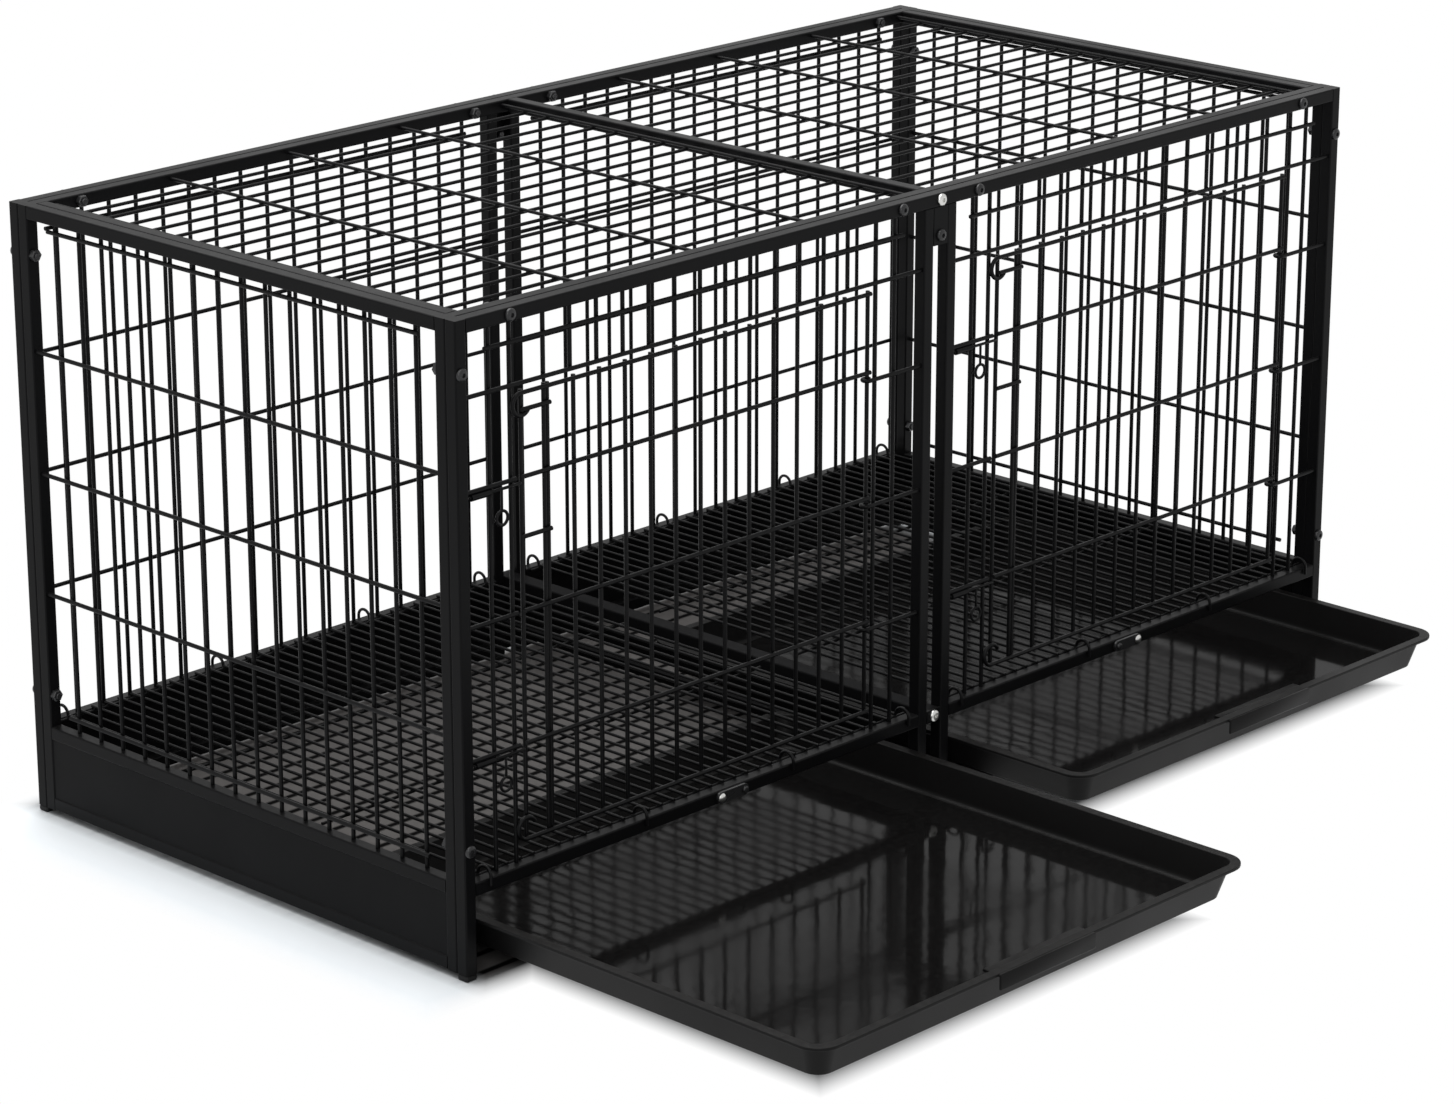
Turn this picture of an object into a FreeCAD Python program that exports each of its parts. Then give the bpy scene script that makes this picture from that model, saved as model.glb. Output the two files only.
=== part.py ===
"""Two-bay modular pet cage: square-tube panels with welded wire, two doors, slide bolts and pull-out trays.

Frame: millimetres, +Z up, -Y the side with the doors. The origin is on the ground, in the middle of the feet.
Driving dimensions are cells of the sheet Sizes. PLACES names the heights, lines and spans that follow from them.
"""
import FreeCAD, Part
import math
import os
import re

import Sketcher
from FreeCAD import Placement, Rotation, Vector

SIZES = {
    # whole cage
    "cage_length": 1220,
    "cage_depth": 593,
    "cage_height": 594,
    "slot_gap": 19,
    # square tube
    "tube": 12.7,
    "tube_wall": 1.2,
    "tube_corner": 1.6,
    "post_cap": 1.5,
    # feet
    "foot_height": 6,
    "foot_round": 2.4,
    "plug_length": 14,
    "plug_play": 0.1,
    # levels
    "floor_top": 90,
    "skirt_sheet": 1.2,
    "skirt_recess": 1.0,
    # panel wires
    "wire": 4.0,
    "wire_inset": 4.57,
    "top_wire_drop": 19,
    "end_wire_drop": 8,
    "bottom_wire_rise": 14,
    "wire_overhang": 8,
    # top panel wires
    "roof_wire": 3.3,
    "roof_wire_depth": 8,
    "bar_wire_gap": 8,
    # fixed wires round a door
    "header_drop": 57,
    "strip_upright": 32,
    "latch_jamb": 57,
    "hinge_jamb": 58,
    "jamb_setback": 0.7,
    "eye_drop": 8,
    "eye_play": 0.08,
    # door
    "latch_strip": 69,
    "hinge_strip": 68,
    "door_head_gap": 9,
    "door_sill_gap": 21,
    "door_low_row": 110,
    "door_high_drop": 74.3,
    "row_overhang": 2,
    "curl_radius": 10,
    "curl_shift": 3,
    "peg_drop": 15,
    "peg_low": 75,
    # slide bolts
    "bolt_wire": 2.8,
    "stem_wire": 2.3,
    "bolt_tip_gap": 4,
    "bolt_tail_gap": 4,
    "bolt_play": 0.08,
    "sleeve_wall": 1.6,
    "sleeve_start": 6,
    "sleeve_length": 22,
    "ring_line": 42,
    "ring_drop": 26,
    "ring_radius": 6.5,
    # floor grates
    "floor_wire": 3.0,
    "floor_bearing": 1.7,
    "cross_inset": 3,
    "hook_radius": 8.2,
    "hook_leg": 7.5,
    # tray locks
    "left_lock_offset": 16,
    "right_lock_offset": 5,
    "lock_reach": 30,
    "lock_width": 11,
    "lock_sheet": 2.5,
    "lock_play": 0.3,
    "rivet_head": 9,
    "rivet_head_height": 2.2,
    "rivet_tail": 6,
    "stud_width": 7,
    "stud_height": 2.6,
    # trays and runners
    "tray_base": 22,
    "tray_height": 33,
    "tray_side_gap": 3,
    "tray_front_gap": 4,
    "tray_rear_gap": 5,
    "tray_lip": 8,
    "tray_flare": 9,
    "tray_wall": 2.5,
    "tray_rim": 3,
    "tray_corner": 24,
    "left_tray_pull": 404,
    "right_tray_pull": 167,
    "pull_width": 126,
    "pull_reach": 3,
    "pull_drop": 15,
    "pull_wall": 2.5,
    "pull_ledge": 18,
    "runner_sheet": 1.5,
    "runner_leg": 14,
    "runner_shelf": 9.5,
    "runner_setback": 6,
    "slide_play": 0.3,
    # bolts and slot plates
    "bolt_shank": 6,
    "bolt_hole_play": 0.1,
    "bolt_head": 11.6,
    "bolt_head_height": 1.7,
    "bolt_crown": 7.6,
    "bolt_crown_height": 1.5,
    "bolt_thread_out": 1.5,
    "nut_width": 11.5,
    "nut_height": 5,
    "corner_bolt_high": 47,
    "corner_bolt_low": 31,
    "rail_bolt_end": 63,
    "rail_bolt_middle": 53,
    "plate_sheet": 2,
    "plate_height": 36,
    "plate_bolt_rise": 9,
    "plate_bolt_grip": 10,
}

# Numbers of gaps between wires.
COUNTS = {
    "bay_gaps": 18,
    "end_gaps": 17,
    "level_gaps": 4,
    "roof_gaps": 17,
    "stiffener_gaps": 4,
    "door_gaps": 14,
    "floor_gaps": 36,
    "cross_gaps": 3,
    "hook_gaps": 3,
}

# Angles of bent wire, in degrees.
ANGLES = {
    "eye_sweep": 265,
    "curl_sweep": 245,
}

# Heights, lines and spans worked out from the sizes.
PLACES = {
    "front": "-cage_depth / 2",
    "rear": "cage_depth / 2",
    "left_side": "-cage_length / 2",
    "right_side": "cage_length / 2",
    "bay_width": "(cage_length - 4 * tube - slot_gap) / 2",
    "left_bay": "left_side + tube",
    "right_bay": "slot_gap / 2 + tube",
    "end_depth": "cage_depth - 4 * tube",
    "rail_under": "cage_height - tube",
    "floor_under": "floor_top - tube",
    "skirt_foot": "foot_height + tube",
    "top_row": "rail_under - top_wire_drop",
    "end_top_row": "rail_under - end_wire_drop",
    "bottom_row": "floor_top + bottom_wire_rise",
    "row_inset": "wire_inset",
    "upright_inset": "wire_inset + wire",
    "upright_length": "rail_under - floor_top",
    "eye_radius": "wire + eye_play",
    "front_rows": "front + wire_inset",
    "front_uprights": "front + wire_inset + wire",
    "hinge_line": "front_rows + eye_radius",
    "header": "rail_under - header_drop",
    "door_top": "header - door_head_gap",
    "door_bottom": "floor_top + door_sill_gap",
    "door_width": "bay_width - latch_strip - hinge_strip",
    "door_rows": "hinge_line - wire",
    "door_row_pitch": "(door_top - door_high_drop - floor_top - door_low_row) / 2",
    "sleeve_radius": "bolt_wire / 2 + bolt_play + sleeve_wall",
    "bolt_drop": "wire / 2 + sleeve_radius",
    "floor_line": "floor_top + floor_wire / 2",
    "cross_line": "floor_top - floor_wire / 2",
    "floor_start": "front + tube - floor_bearing",
    "floor_length": "cage_depth - 2 * (tube - floor_bearing)",
    "roof_row_height": "cage_height - roof_wire_depth",
    "roof_half": "cage_length / 2 - 2.5 * tube",
    "lock_line": "floor_top - tube / 2",
    "rivet_shank": "bolt_shank + 2 * bolt_hole_play",
    "lock_back": "front - lock_play",
    "tray_width": "bay_width - 2 * tray_side_gap",
    "tray_depth": "cage_depth - tube - tray_front_gap - tray_rear_gap",
    "tray_middle": "(tray_front_gap - tray_rear_gap - tube) / 2",
    "tub_width": "tray_width - 2 * tray_lip",
    "tub_depth": "tray_depth - 2 * tray_lip",
    "rim_under": "tray_height - tray_rim",
    "runner_top": "tray_base + rim_under - slide_play",
    "runner_length": "cage_depth - 2 * runner_setback",
    "bore": "tube - 2 * tube_wall",
    "grip": "2 * tube",
    "bolt_length": "grip + nut_height + bolt_thread_out",
}

ALONG = {
    "x": Rotation(Vector(0, 1, 0), 90),
    "y": Rotation(Vector(1, 0, 0), -90),
    "z": Rotation(),
}
BAYS = {"left": "left_bay", "right": "right_bay"}
ENDS = {"left": ("left_side", 1), "right": ("right_side", -1)}

doc = FreeCAD.newDocument("pet_cage")
sheet = doc.addObject("Spreadsheet::Sheet", "Sizes")
nodes = []


def fill_sheet():
    """Writes every driving dimension to the sheet, one row each, with its name as the cell's alias."""
    for row, (name, number) in enumerate({**SIZES, **COUNTS, **ANGLES}.items(), start=1):
        sheet.set("A%d" % row, name)
        sheet.set("B%d" % row, str(number))
        sheet.setAlias("B%d" % row, name)
    doc.recompute()


def formula(text):
    """Writes a formula of sizes and places out as an expression of the sheet's cells."""
    def cell(match):
        word = match.group(0)
        if word in PLACES:
            return "(" + formula(PLACES[word]) + ")"
        return "Sizes." + word
    return re.sub(r"[a-z_]+", cell, str(text))


def bind(thing, **formulas):
    """Binds properties of an object to formulas; double underscores stand for dots."""
    for name, text in formulas.items():
        thing.setExpression(name.replace("__", "."), formula(text))


def put(thing, x, y, z, turn=None):
    """Turns an object and binds its place to three formulas."""
    thing.Placement = Placement(Vector(), turn if turn is not None else Rotation())
    bind(thing, Placement__Base__x=x, Placement__Base__y=y, Placement__Base__z=z)
    return thing


def node(thing, label):
    """Names an object as a piece of the cage that is written to its own file."""
    thing.Label = label
    nodes.append(thing)
    return thing


def group(label, members):
    """Puts separate solids together under one name."""
    compound = doc.addObject("Part::Compound", label)
    compound.Links = members
    return node(compound, label)


def fuse(members):
    """Joins touching solids into one."""
    joined = doc.addObject("Part::MultiFuse", "joined")
    joined.Shapes = members
    return joined


def cut(base, tool):
    """Takes one solid out of another."""
    rest = doc.addObject("Part::Cut", "cut")
    rest.Base = base
    rest.Tool = tool
    return rest


def rod(axis, x, y, z, length, diameter="wire"):
    """Makes a straight round wire from a start point along an axis."""
    wire = doc.addObject("Part::Cylinder", "rod")
    bind(wire, Radius="(%s) / 2" % diameter, Height=length)
    return put(wire, x, y, z, ALONG[axis])


def bend(x, y, z, start, towards, radius, sweep, diameter="wire"):
    """Makes an arc of round wire about a centre, from one direction round towards another."""
    arc = doc.addObject("Part::Torus", "bend")
    bind(arc, Radius1=radius, Radius2="(%s) / 2" % diameter, Angle3=sweep)
    return put(arc, x, y, z, Rotation(start, towards, start.cross(towards), "XYZ"))


def block(x, y, z, length, depth, height):
    """Makes a plain box from its lowest corner."""
    box = doc.addObject("Part::Box", "block")
    bind(box, Length=length, Width=depth, Height=height)
    return put(box, x, y, z)


def origin_plane(body, role):
    """Finds one of a body's own origin planes."""
    return next(plane for plane in body.Origin.OriginFeatures if plane.Role == role)


def new_sketch(body, role, height="0"):
    """Starts a sketch on one of a body's origin planes, lifted along the plane's normal."""
    sketch = body.newObject("Sketcher::SketchObject", "sketch")
    sketch.AttachmentSupport = [(origin_plane(body, role), "")]
    sketch.MapMode = "FlatFace"
    bind(sketch, AttachmentOffset__Base__z=height)
    return sketch


def drive(sketch, constraint, text):
    """Adds a dimension to a sketch and binds it to a formula."""
    index = sketch.addConstraint(constraint)
    sketch.setExpression("Constraints[%d]" % index, formula(text))


def draw_rectangle(sketch, width, depth, middle="0"):
    """Draws a rectangle about the sketch's vertical axis, with its middle at a height on that axis."""
    corners = [Vector(-1, -1, 0), Vector(1, -1, 0), Vector(1, 1, 0), Vector(-1, 1, 0)]
    for start, end in zip(corners, corners[1:] + corners[:1]):
        sketch.addGeometry(Part.LineSegment(start, end))
    for side in range(4):
        sketch.addConstraint(Sketcher.Constraint("Coincident", side, 2, (side + 1) % 4, 1))
    for side, way in ((1, "Vertical"), (2, "Horizontal"), (3, "Vertical")):
        sketch.addConstraint(Sketcher.Constraint(way, side))
    sketch.addConstraint(Sketcher.Constraint("Symmetric", 0, 1, 0, 2, -2))
    drive(sketch, Sketcher.Constraint("DistanceX", 0, 1, 0, 2, 2.0), width)
    drive(sketch, Sketcher.Constraint("DistanceY", 1, 1, 1, 2, 2.0), depth)
    drive(sketch, Sketcher.Constraint("DistanceY", 0, 1, -1, 1, 1.0), "(%s) / 2 - (%s)" % (depth, middle))


def draw_round_rectangle(sketch, width, depth, radius):
    """Draws a rectangle with round corners about the sketch's origin."""
    half, straight, corner = 3.0, 2.0, 1.0
    turns = [Rotation(Vector(0, 0, 1), 90 * side) for side in range(4)]
    for side, turn in enumerate(turns):
        line_ends = [turn.multVec(Vector(-straight, -half, 0)), turn.multVec(Vector(straight, -half, 0))]
        sketch.addGeometry(Part.LineSegment(*line_ends))
        circle = Part.Circle(turn.multVec(Vector(straight, -straight, 0)), Vector(0, 0, 1), corner)
        first = FreeCAD.Units.Quantity("%d deg" % (270 + 90 * side)).getValueAs("rad").Value
        last = FreeCAD.Units.Quantity("%d deg" % (360 + 90 * side)).getValueAs("rad").Value
        sketch.addGeometry(Part.ArcOfCircle(circle, first, last))
    for side in range(4):
        line, arc, following = 2 * side, 2 * side + 1, (2 * side + 2) % 8
        sketch.addConstraint(Sketcher.Constraint("Tangent", line, 2, arc, 1))
        sketch.addConstraint(Sketcher.Constraint("Tangent", arc, 2, following, 1))
        sketch.addConstraint(Sketcher.Constraint("Horizontal" if side % 2 == 0 else "Vertical", line))
    for arc in (3, 5, 7):
        sketch.addConstraint(Sketcher.Constraint("Equal", 1, arc))
    sketch.addConstraint(Sketcher.Constraint("Symmetric", 0, 1, 4, 1, -1, 1))
    drive(sketch, Sketcher.Constraint("Radius", 1, corner), radius)
    drive(sketch, Sketcher.Constraint("DistanceX", 6, 1, 2, 1, 2 * half), width)
    drive(sketch, Sketcher.Constraint("DistanceY", 0, 1, 4, 1, 2 * half), depth)


def pad(body, sketch, length):
    """Raises a sketch into a solid."""
    feature = body.newObject("PartDesign::Pad", "pad")
    feature.Profile = sketch
    bind(feature, Length=length)
    return feature


def round_edges(body, feature, radius, chosen):
    """Rounds the edges of a body's last feature that a test picks."""
    doc.recompute()
    names = ["Edge%d" % (n + 1) for n, edge in enumerate(feature.Shape.Edges) if chosen(edge)]
    fillet = body.newObject("PartDesign::Fillet", "fillet")
    fillet.Base = (feature, names)
    bind(fillet, Radius=radius)
    return fillet


def stands(edge):
    """Says whether an edge runs along the body's own Z axis."""
    start, end = edge.Vertexes[0].Point, edge.Vertexes[-1].Point
    return abs((end - start).normalize().z) > 0.99


def tube(axis, x, y, z, length, width="tube", cap="0", holes=()):
    """Makes a square tube from the middle of its first end along an axis.

    holes are distances along the tube of bolt holes that go through it along Y; a cap closes the far end.
    """
    body = doc.addObject("PartDesign::Body", "tube")
    outline = new_sketch(body, "XY_Plane")
    draw_rectangle(outline, width, "tube")
    bar = pad(body, outline, length)
    round_edges(body, bar, "tube_corner", stands)
    inside = new_sketch(body, "XY_Plane")
    draw_rectangle(inside, "%s - 2 * tube_wall" % width, "bore")
    hollow = body.newObject("PartDesign::Pocket", "bore")
    hollow.Profile = inside
    hollow.Reversed = True
    bind(hollow, Length="%s - (%s)" % (length, cap))
    if holes:
        drill = new_sketch(body, "XZ_Plane")
        for n, distance in enumerate(holes):
            drill.addGeometry(Part.Circle(Vector(0, n + 1, 0), Vector(0, 0, 1), 0.3))
            drill.addConstraint(Sketcher.Constraint("PointOnObject", n, 3, -2))
            drive(drill, Sketcher.Constraint("DistanceY", -1, 1, n, 3, n + 1.0), distance)
            drive(drill, Sketcher.Constraint("Radius", n, 0.3), "bolt_shank / 2 + bolt_hole_play")
        through = body.newObject("PartDesign::Pocket", "bolt_holes")
        through.Profile = drill
        through.Type = "ThroughAll"
        through.Midplane = True
    return put(body, x, y, z, ALONG[axis])


def post(x, y, holes=(), top="cage_height"):
    """Makes an upright tube that stands on its foot; its holes are given as heights."""
    heights = ["%s - foot_height" % height for height in holes]
    return tube("z", x, y, "foot_height", "%s - foot_height" % top, cap="post_cap", holes=heights)


CORNER_BOLTS = ["cage_height - corner_bolt_high", "floor_top + corner_bolt_low"]
RAIL_BOLTS = ["rail_bolt_end - tube", "cage_length / 2 - tube - rail_bolt_middle", "cage_length / 2 - tube",
              "cage_length / 2 - tube + rail_bolt_middle", "cage_length - rail_bolt_end - tube"]
FACES = {"front": ("front", 1), "rear": ("rear", -1)}


def lock_pivot(side):
    """Gives the distance of a tray lock's rivet from the left end of its floor rail."""
    return "bay_width / 2 %s %s_lock_offset" % ("+" if side == "left" else "-", side)


def face_line(face, inset):
    """Gives the formula of a line at an inset from the front or the rear face."""
    place, way = FACES[face]
    return "%s + %d * (%s)" % (place, way, inset)


def build_long_panels():
    """Makes the tubes of the front and rear panels, which carry the feet and both middle posts."""
    middle = "slot_gap / 2 + tube / 2"
    rail_length = "cage_length - 2 * tube"
    for face in FACES:
        line = face_line(face, "tube / 2")
        node(post("left_side + tube / 2", line, CORNER_BOLTS), "%s_left_post" % face)
        node(post("right_side - tube / 2", line, CORNER_BOLTS), "%s_right_post" % face)
        group("%s_middle_posts" % face, [post("%s(%s)" % (sign, middle), line, top="rail_under") for sign in "-+"])
        node(tube("x", "left_bay", line, "cage_height - tube / 2", rail_length, holes=RAIL_BOLTS),
             "%s_top_rail" % face)
        for side, bay in BAYS.items():
            pivot = [lock_pivot(side)] if face == "front" else []
            node(tube("x", bay, line, "floor_top - tube / 2", "bay_width", holes=pivot),
                 "%s_floor_rail_%s" % (face, side))


def build_rear_skirts():
    """Makes the bottom rails and skirts of the rear panel, which stop the trays."""
    rails, sheets = [], []
    for bay in BAYS.values():
        rails.append(tube("x", bay, "rear - tube / 2", "foot_height + tube / 2", "bay_width"))
        sheets.append(block(bay, "rear - skirt_recess - skirt_sheet", "skirt_foot", "bay_width", "skirt_sheet",
                            "floor_under - skirt_foot"))
    group("rear_bottom_rails", rails)
    group("rear_skirts", sheets)


def build_end_panels():
    """Makes the two end panels, which stand between the front and rear panels."""
    for side, (place, way) in ENDS.items():
        line = "%s + %d * tube / 2" % (place, way)
        for face in FACES:
            node(post(line, face_line(face, "1.5 * tube"), CORNER_BOLTS), "%s_end_%s_post" % (side, face))
        for level, height in (("top", "cage_height - tube / 2"), ("floor", "floor_top - tube / 2"),
                              ("bottom", "foot_height + tube / 2")):
            node(tube("y", line, "front + 2 * tube", height, "end_depth"), "%s_end_%s_rail" % (side, level))
        inset = "skirt_recess" if way > 0 else "-skirt_recess - skirt_sheet"
        skirt = block("%s + %s" % (place, inset), "front + 2 * tube", "skirt_foot", "skirt_sheet", "end_depth",
                      "floor_under - skirt_foot")
        node(skirt, "%s_end_skirt" % side)


def row_heights(top):
    """Gives the heights of a panel's rows of wire, from the lowest, which only the ends have, to the named top."""
    gaps = COUNTS["level_gaps"]
    return ["bottom_row + %d * (%s - bottom_row) / level_gaps" % (n, top) for n in range(gaps + 1)]


def panel_rows(axis, fixed, start, span, pitch, heights):
    """Makes a panel's rows: the lowest and highest just pass the end uprights, the others reach the posts."""
    rows = []
    for height in heights:
        short = height == heights[-1] or height.startswith("bottom_row + 0 ")
        trim = "(%s - wire_overhang)" % pitch if short else "0"
        first = "%s + %s" % (start, trim)
        length = "%s - 2 * %s" % (span, trim)
        x, y = (first, fixed) if axis == "x" else (fixed, first)
        rows.append(rod(axis, x, y, height, length))
    return rows


def build_rear_wires():
    """Makes the wires of the rear panel in each bay."""
    pitch = "bay_width / bay_gaps"
    for side, bay in BAYS.items():
        uprights = [rod("z", "%s + %d * %s" % (bay, n, pitch), "rear - upright_inset", "floor_top", "upright_length")
                    for n in range(1, COUNTS["bay_gaps"])]
        group("rear_wires_%s" % side, uprights + panel_rows("x", "rear - row_inset", bay, "bay_width", pitch,
                                                              row_heights("top_row")[1:]))


def build_end_wires():
    """Makes the wires of the two end panels."""
    pitch = "end_depth / end_gaps"
    start = "front + 2 * tube"
    for side, (place, way) in ENDS.items():
        line = "%s + %d * upright_inset" % (place, way)
        uprights = [rod("z", line, "%s + %d * %s" % (start, n, pitch), "floor_top", "upright_length")
                    for n in range(1, COUNTS["end_gaps"])]
        rows = panel_rows("y", "%s + %d * row_inset" % (place, way), start, "end_depth", pitch,
                          row_heights("end_top_row"))
        group("%s_end_wires" % side, uprights + rows)


def build_top_panel():
    """Makes the top panel, which lies inside the upper rails of the other panels."""
    height = "cage_height - tube / 2"
    for face in FACES:
        node(tube("x", "left_bay", face_line(face, "1.5 * tube"), height, "cage_length - 2 * tube",
                  holes=RAIL_BOLTS), "top_%s_rail" % face)
    bars = {"top_left_rail": "left_side + 1.5 * tube", "top_right_rail": "right_side - 1.5 * tube",
            "top_cross_bar": "0"}
    for label, line in bars.items():
        node(tube("y", line, "front + 2 * tube", height, "end_depth"), label)
    halves = {"left": "left_bay + tube", "right": "tube / 2"}
    for side, start in halves.items():
        rows = [rod("x", start, "front + 2 * tube + %d * end_depth / roof_gaps" % n, "roof_row_height", "roof_half",
                    "roof_wire") for n in range(1, COUNTS["roof_gaps"])]
        gaps = COUNTS["stiffener_gaps"]
        lines = ["%s + %d * roof_half / stiffener_gaps" % (start, n) for n in range(1, gaps)]
        lines += ["%s + bar_wire_gap" % start, "%s + roof_half - bar_wire_gap" % start]
        stiffeners = [rod("y", line, "front + 2 * tube", "roof_row_height + roof_wire", "end_depth", "roof_wire")
                      for line in lines]
        group("top_wires_%s" % side, rows + stiffeners)


def door_row_heights():
    """Gives the heights of the three middle rows of a door."""
    return ["floor_top + door_low_row + %d * door_row_pitch" % n for n in range(3)]


def build_front_wires():
    """Makes the fixed wires round each door, with the hinge eyes and the bolt sleeves."""
    for side, bay in BAYS.items():
        pitch = "bay_width / bay_gaps"
        members = []
        for line in ("strip_upright", "bay_width - hinge_jamb", "bay_width - strip_upright"):
            members.append(rod("z", "%s + %s" % (bay, line), "front_uprights", "floor_top", "upright_length"))
        members.append(rod("z", "%s + latch_jamb" % bay, "front_uprights + jamb_setback", "floor_top",
                           "upright_length"))
        for n in range(3, COUNTS["bay_gaps"] - 2):
            members.append(rod("z", "%s + %d * %s" % (bay, n, pitch), "front_uprights", "header - wire / 2",
                               "header_drop + wire / 2"))
        members.append(rod("x", bay, "front_rows", "header", "bay_width"))
        members.append(rod("x", "%s + strip_upright - wire_overhang" % bay, "front_rows", "top_row",
                           "bay_width - 2 * (strip_upright - wire_overhang)"))
        for height in door_row_heights():
            members.append(rod("x", bay, "front_rows", height, "latch_jamb + wire / 2"))
            hinge = "%s + bay_width - hinge_strip" % bay
            eye_height = "%s - eye_drop" % height
            arm = rod("x", hinge, "front_rows", eye_height, "hinge_strip")
            eye = bend(hinge, "hinge_line", eye_height, Vector(0, -1, 0), Vector(-1, 0, 0), "eye_radius", "eye_sweep")
            members.append(fuse([arm, eye]))
        for height in (door_row_heights()[0], door_row_heights()[2]):
            start = ("%s + sleeve_start" % bay, "front_rows", "%s - bolt_drop" % height)
            outside = rod("x", *start, "sleeve_length", "2 * sleeve_radius")
            inside = rod("x", *start, "sleeve_length", "bolt_wire + 2 * bolt_play")
            members.append(cut(outside, inside))
        group("front_wires_%s" % side, members)


def build_doors():
    """Makes the two doors, each hung on its right-hand upright."""
    for side, bay in BAYS.items():
        hinge = "%s + bay_width - hinge_strip" % bay
        free = "%s + latch_strip" % bay
        foot = "door_bottom - row_overhang"
        height = "door_top - door_bottom + 2 * row_overhang"
        members = [rod("z", "%s - %d * door_width / door_gaps" % (hinge, n), "hinge_line", foot, height)
                   for n in range(COUNTS["door_gaps"] + 1)]
        doubled = "%s + door_width / door_gaps - wire" % free
        members.append(rod("z", doubled, "hinge_line", foot, height))
        for row in door_row_heights():
            members.append(rod("x", "%s - row_overhang" % free, "door_rows", row, "door_width + row_overhang"))
        for row in ("door_top - peg_drop", "floor_top + door_low_row + door_row_pitch + peg_low - eye_drop"):
            members.append(rod("x", "%s - row_overhang" % free, "door_rows", row,
                               "door_width / door_gaps + row_overhang"))
        centre = "%s - curl_shift" % free
        for level, up in (("door_top", 1), ("door_bottom", -1)):
            row = rod("x", centre, "door_rows", level, "door_width + curl_shift")
            curl = bend(centre, "door_rows", "%s - %d * curl_radius" % (level, up), Vector(0, 0, up),
                        Vector(-1, 0, 0), "curl_radius", "curl_sweep")
            members.append(fuse([row, curl]))
        group("%s_door" % side, members)


def build_slide_bolts():
    """Makes the four slide bolts, drawn back, each with a finger ring below."""
    rows = door_row_heights()
    for side, bay in BAYS.items():
        for level, row in (("lower", rows[0]), ("upper", rows[2])):
            height = "%s - bolt_drop" % row
            shaft = rod("x", "%s + bolt_tail_gap" % bay, "front_rows", height,
                        "latch_strip - bolt_tip_gap - bolt_tail_gap", "bolt_wire")
            line = "%s + ring_line" % bay
            ring_top = "%s - ring_drop + ring_radius" % height
            stem = rod("z", line, "front_rows", ring_top, "ring_drop - ring_radius", "stem_wire")
            ring = bend(line, "front_rows", "%s - ring_drop" % height, Vector(0, 0, 1), Vector(1, 0, 0),
                        "ring_radius", "360", "bolt_wire")
            node(fuse([shaft, stem, ring]), "%s_%s_slide_bolt" % (side, level))


def build_floor_grates():
    """Makes the two floor grates, with arched hooks over the front and rear floor rails."""
    pairs = (COUNTS["floor_gaps"] - 2) / 2
    hooked = [1 + 2 * math.ceil(n * pairs / COUNTS["hook_gaps"]) for n in range(COUNTS["hook_gaps"] + 1)]
    for side, bay in BAYS.items():
        members = []
        for n in range(1, COUNTS["floor_gaps"]):
            line = "%s + %d * bay_width / floor_gaps" % (bay, n)
            if n not in hooked:
                members.append(rod("y", line, "floor_start", "floor_line", "floor_length", "floor_wire"))
                continue
            run = rod("y", line, "front + tube / 2 + hook_radius", "floor_line",
                      "cage_depth - tube - 2 * hook_radius", "floor_wire")
            bent = [run]
            for face, (place, way) in FACES.items():
                middle = face_line(face, "tube / 2")
                bent.append(bend(line, middle, "floor_line", Vector(0, way, 0), Vector(0, 0, 1), "hook_radius", "180",
                                 "floor_wire"))
                outside = face_line(face, "tube / 2 - hook_radius")
                bent.append(rod("z", line, outside, "floor_line - hook_leg", "hook_leg", "floor_wire"))
            members.append(fuse(bent))
        for n in range(COUNTS["cross_gaps"] + 1):
            inset = "tube + cross_inset"
            line = "front + %s + %d * (cage_depth - 2 * (%s)) / cross_gaps" % (inset, n, inset)
            members.append(rod("x", "%s + floor_wire" % bay, line, "cross_line", "bay_width - 2 * floor_wire",
                               "floor_wire"))
        group("floor_grate_%s" % side, members)


def build_middle():
    """Makes the beam between the middle posts and the four plates that close the slot; the low rear one is long."""
    node(tube("y", "0", "front + plate_sheet", "floor_top - tube / 2", "cage_depth - 2 * plate_sheet",
              width="slot_gap"), "middle_floor_beam")
    plates = []
    for face, (place, way) in FACES.items():
        start = place if way > 0 else "%s - plate_sheet" % place
        levels = {"rail_under - plate_height": "plate_height"}
        levels.update({"floor_under": "tube"} if way > 0 else {"foot_height": "floor_top - foot_height"})
        for foot, height in levels.items():
            plate = block("-slot_gap / 2", start, foot, "slot_gap", "plate_sheet", height)
            bolt = "%s + plate_bolt_rise" % foot if height == "plate_height" else "floor_top - tube / 2"
            hole = rod("y", "0", start, bolt, "plate_sheet", "bolt_shank + 2 * bolt_hole_play")
            plates.append(cut(plate, hole))
    group("slot_plates", plates)


def bolt_at(x, face, z, length):
    """Makes a pan-head bolt whose head bears on the front or rear face."""
    place, way = FACES[face]
    turn = ALONG["y"] if way > 0 else Rotation(Vector(1, 0, 0), 90)
    shank = doc.addObject("Part::Cylinder", "shank")
    bind(shank, Radius="bolt_shank / 2", Height=length)
    put(shank, x, place, z, turn)
    head = doc.addObject("Part::Cylinder", "head")
    bind(head, Radius="bolt_head / 2", Height="bolt_head_height")
    put(head, x, "%s - %d * bolt_head_height" % (place, way), z, turn)
    crown = doc.addObject("Part::Cone", "crown")
    bind(crown, Radius1="bolt_crown / 2", Radius2="bolt_head / 2", Height="bolt_crown_height")
    put(crown, x, "%s - %d * (bolt_head_height + bolt_crown_height)" % (place, way), z, turn)
    return fuse([shank, head, crown])


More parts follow.
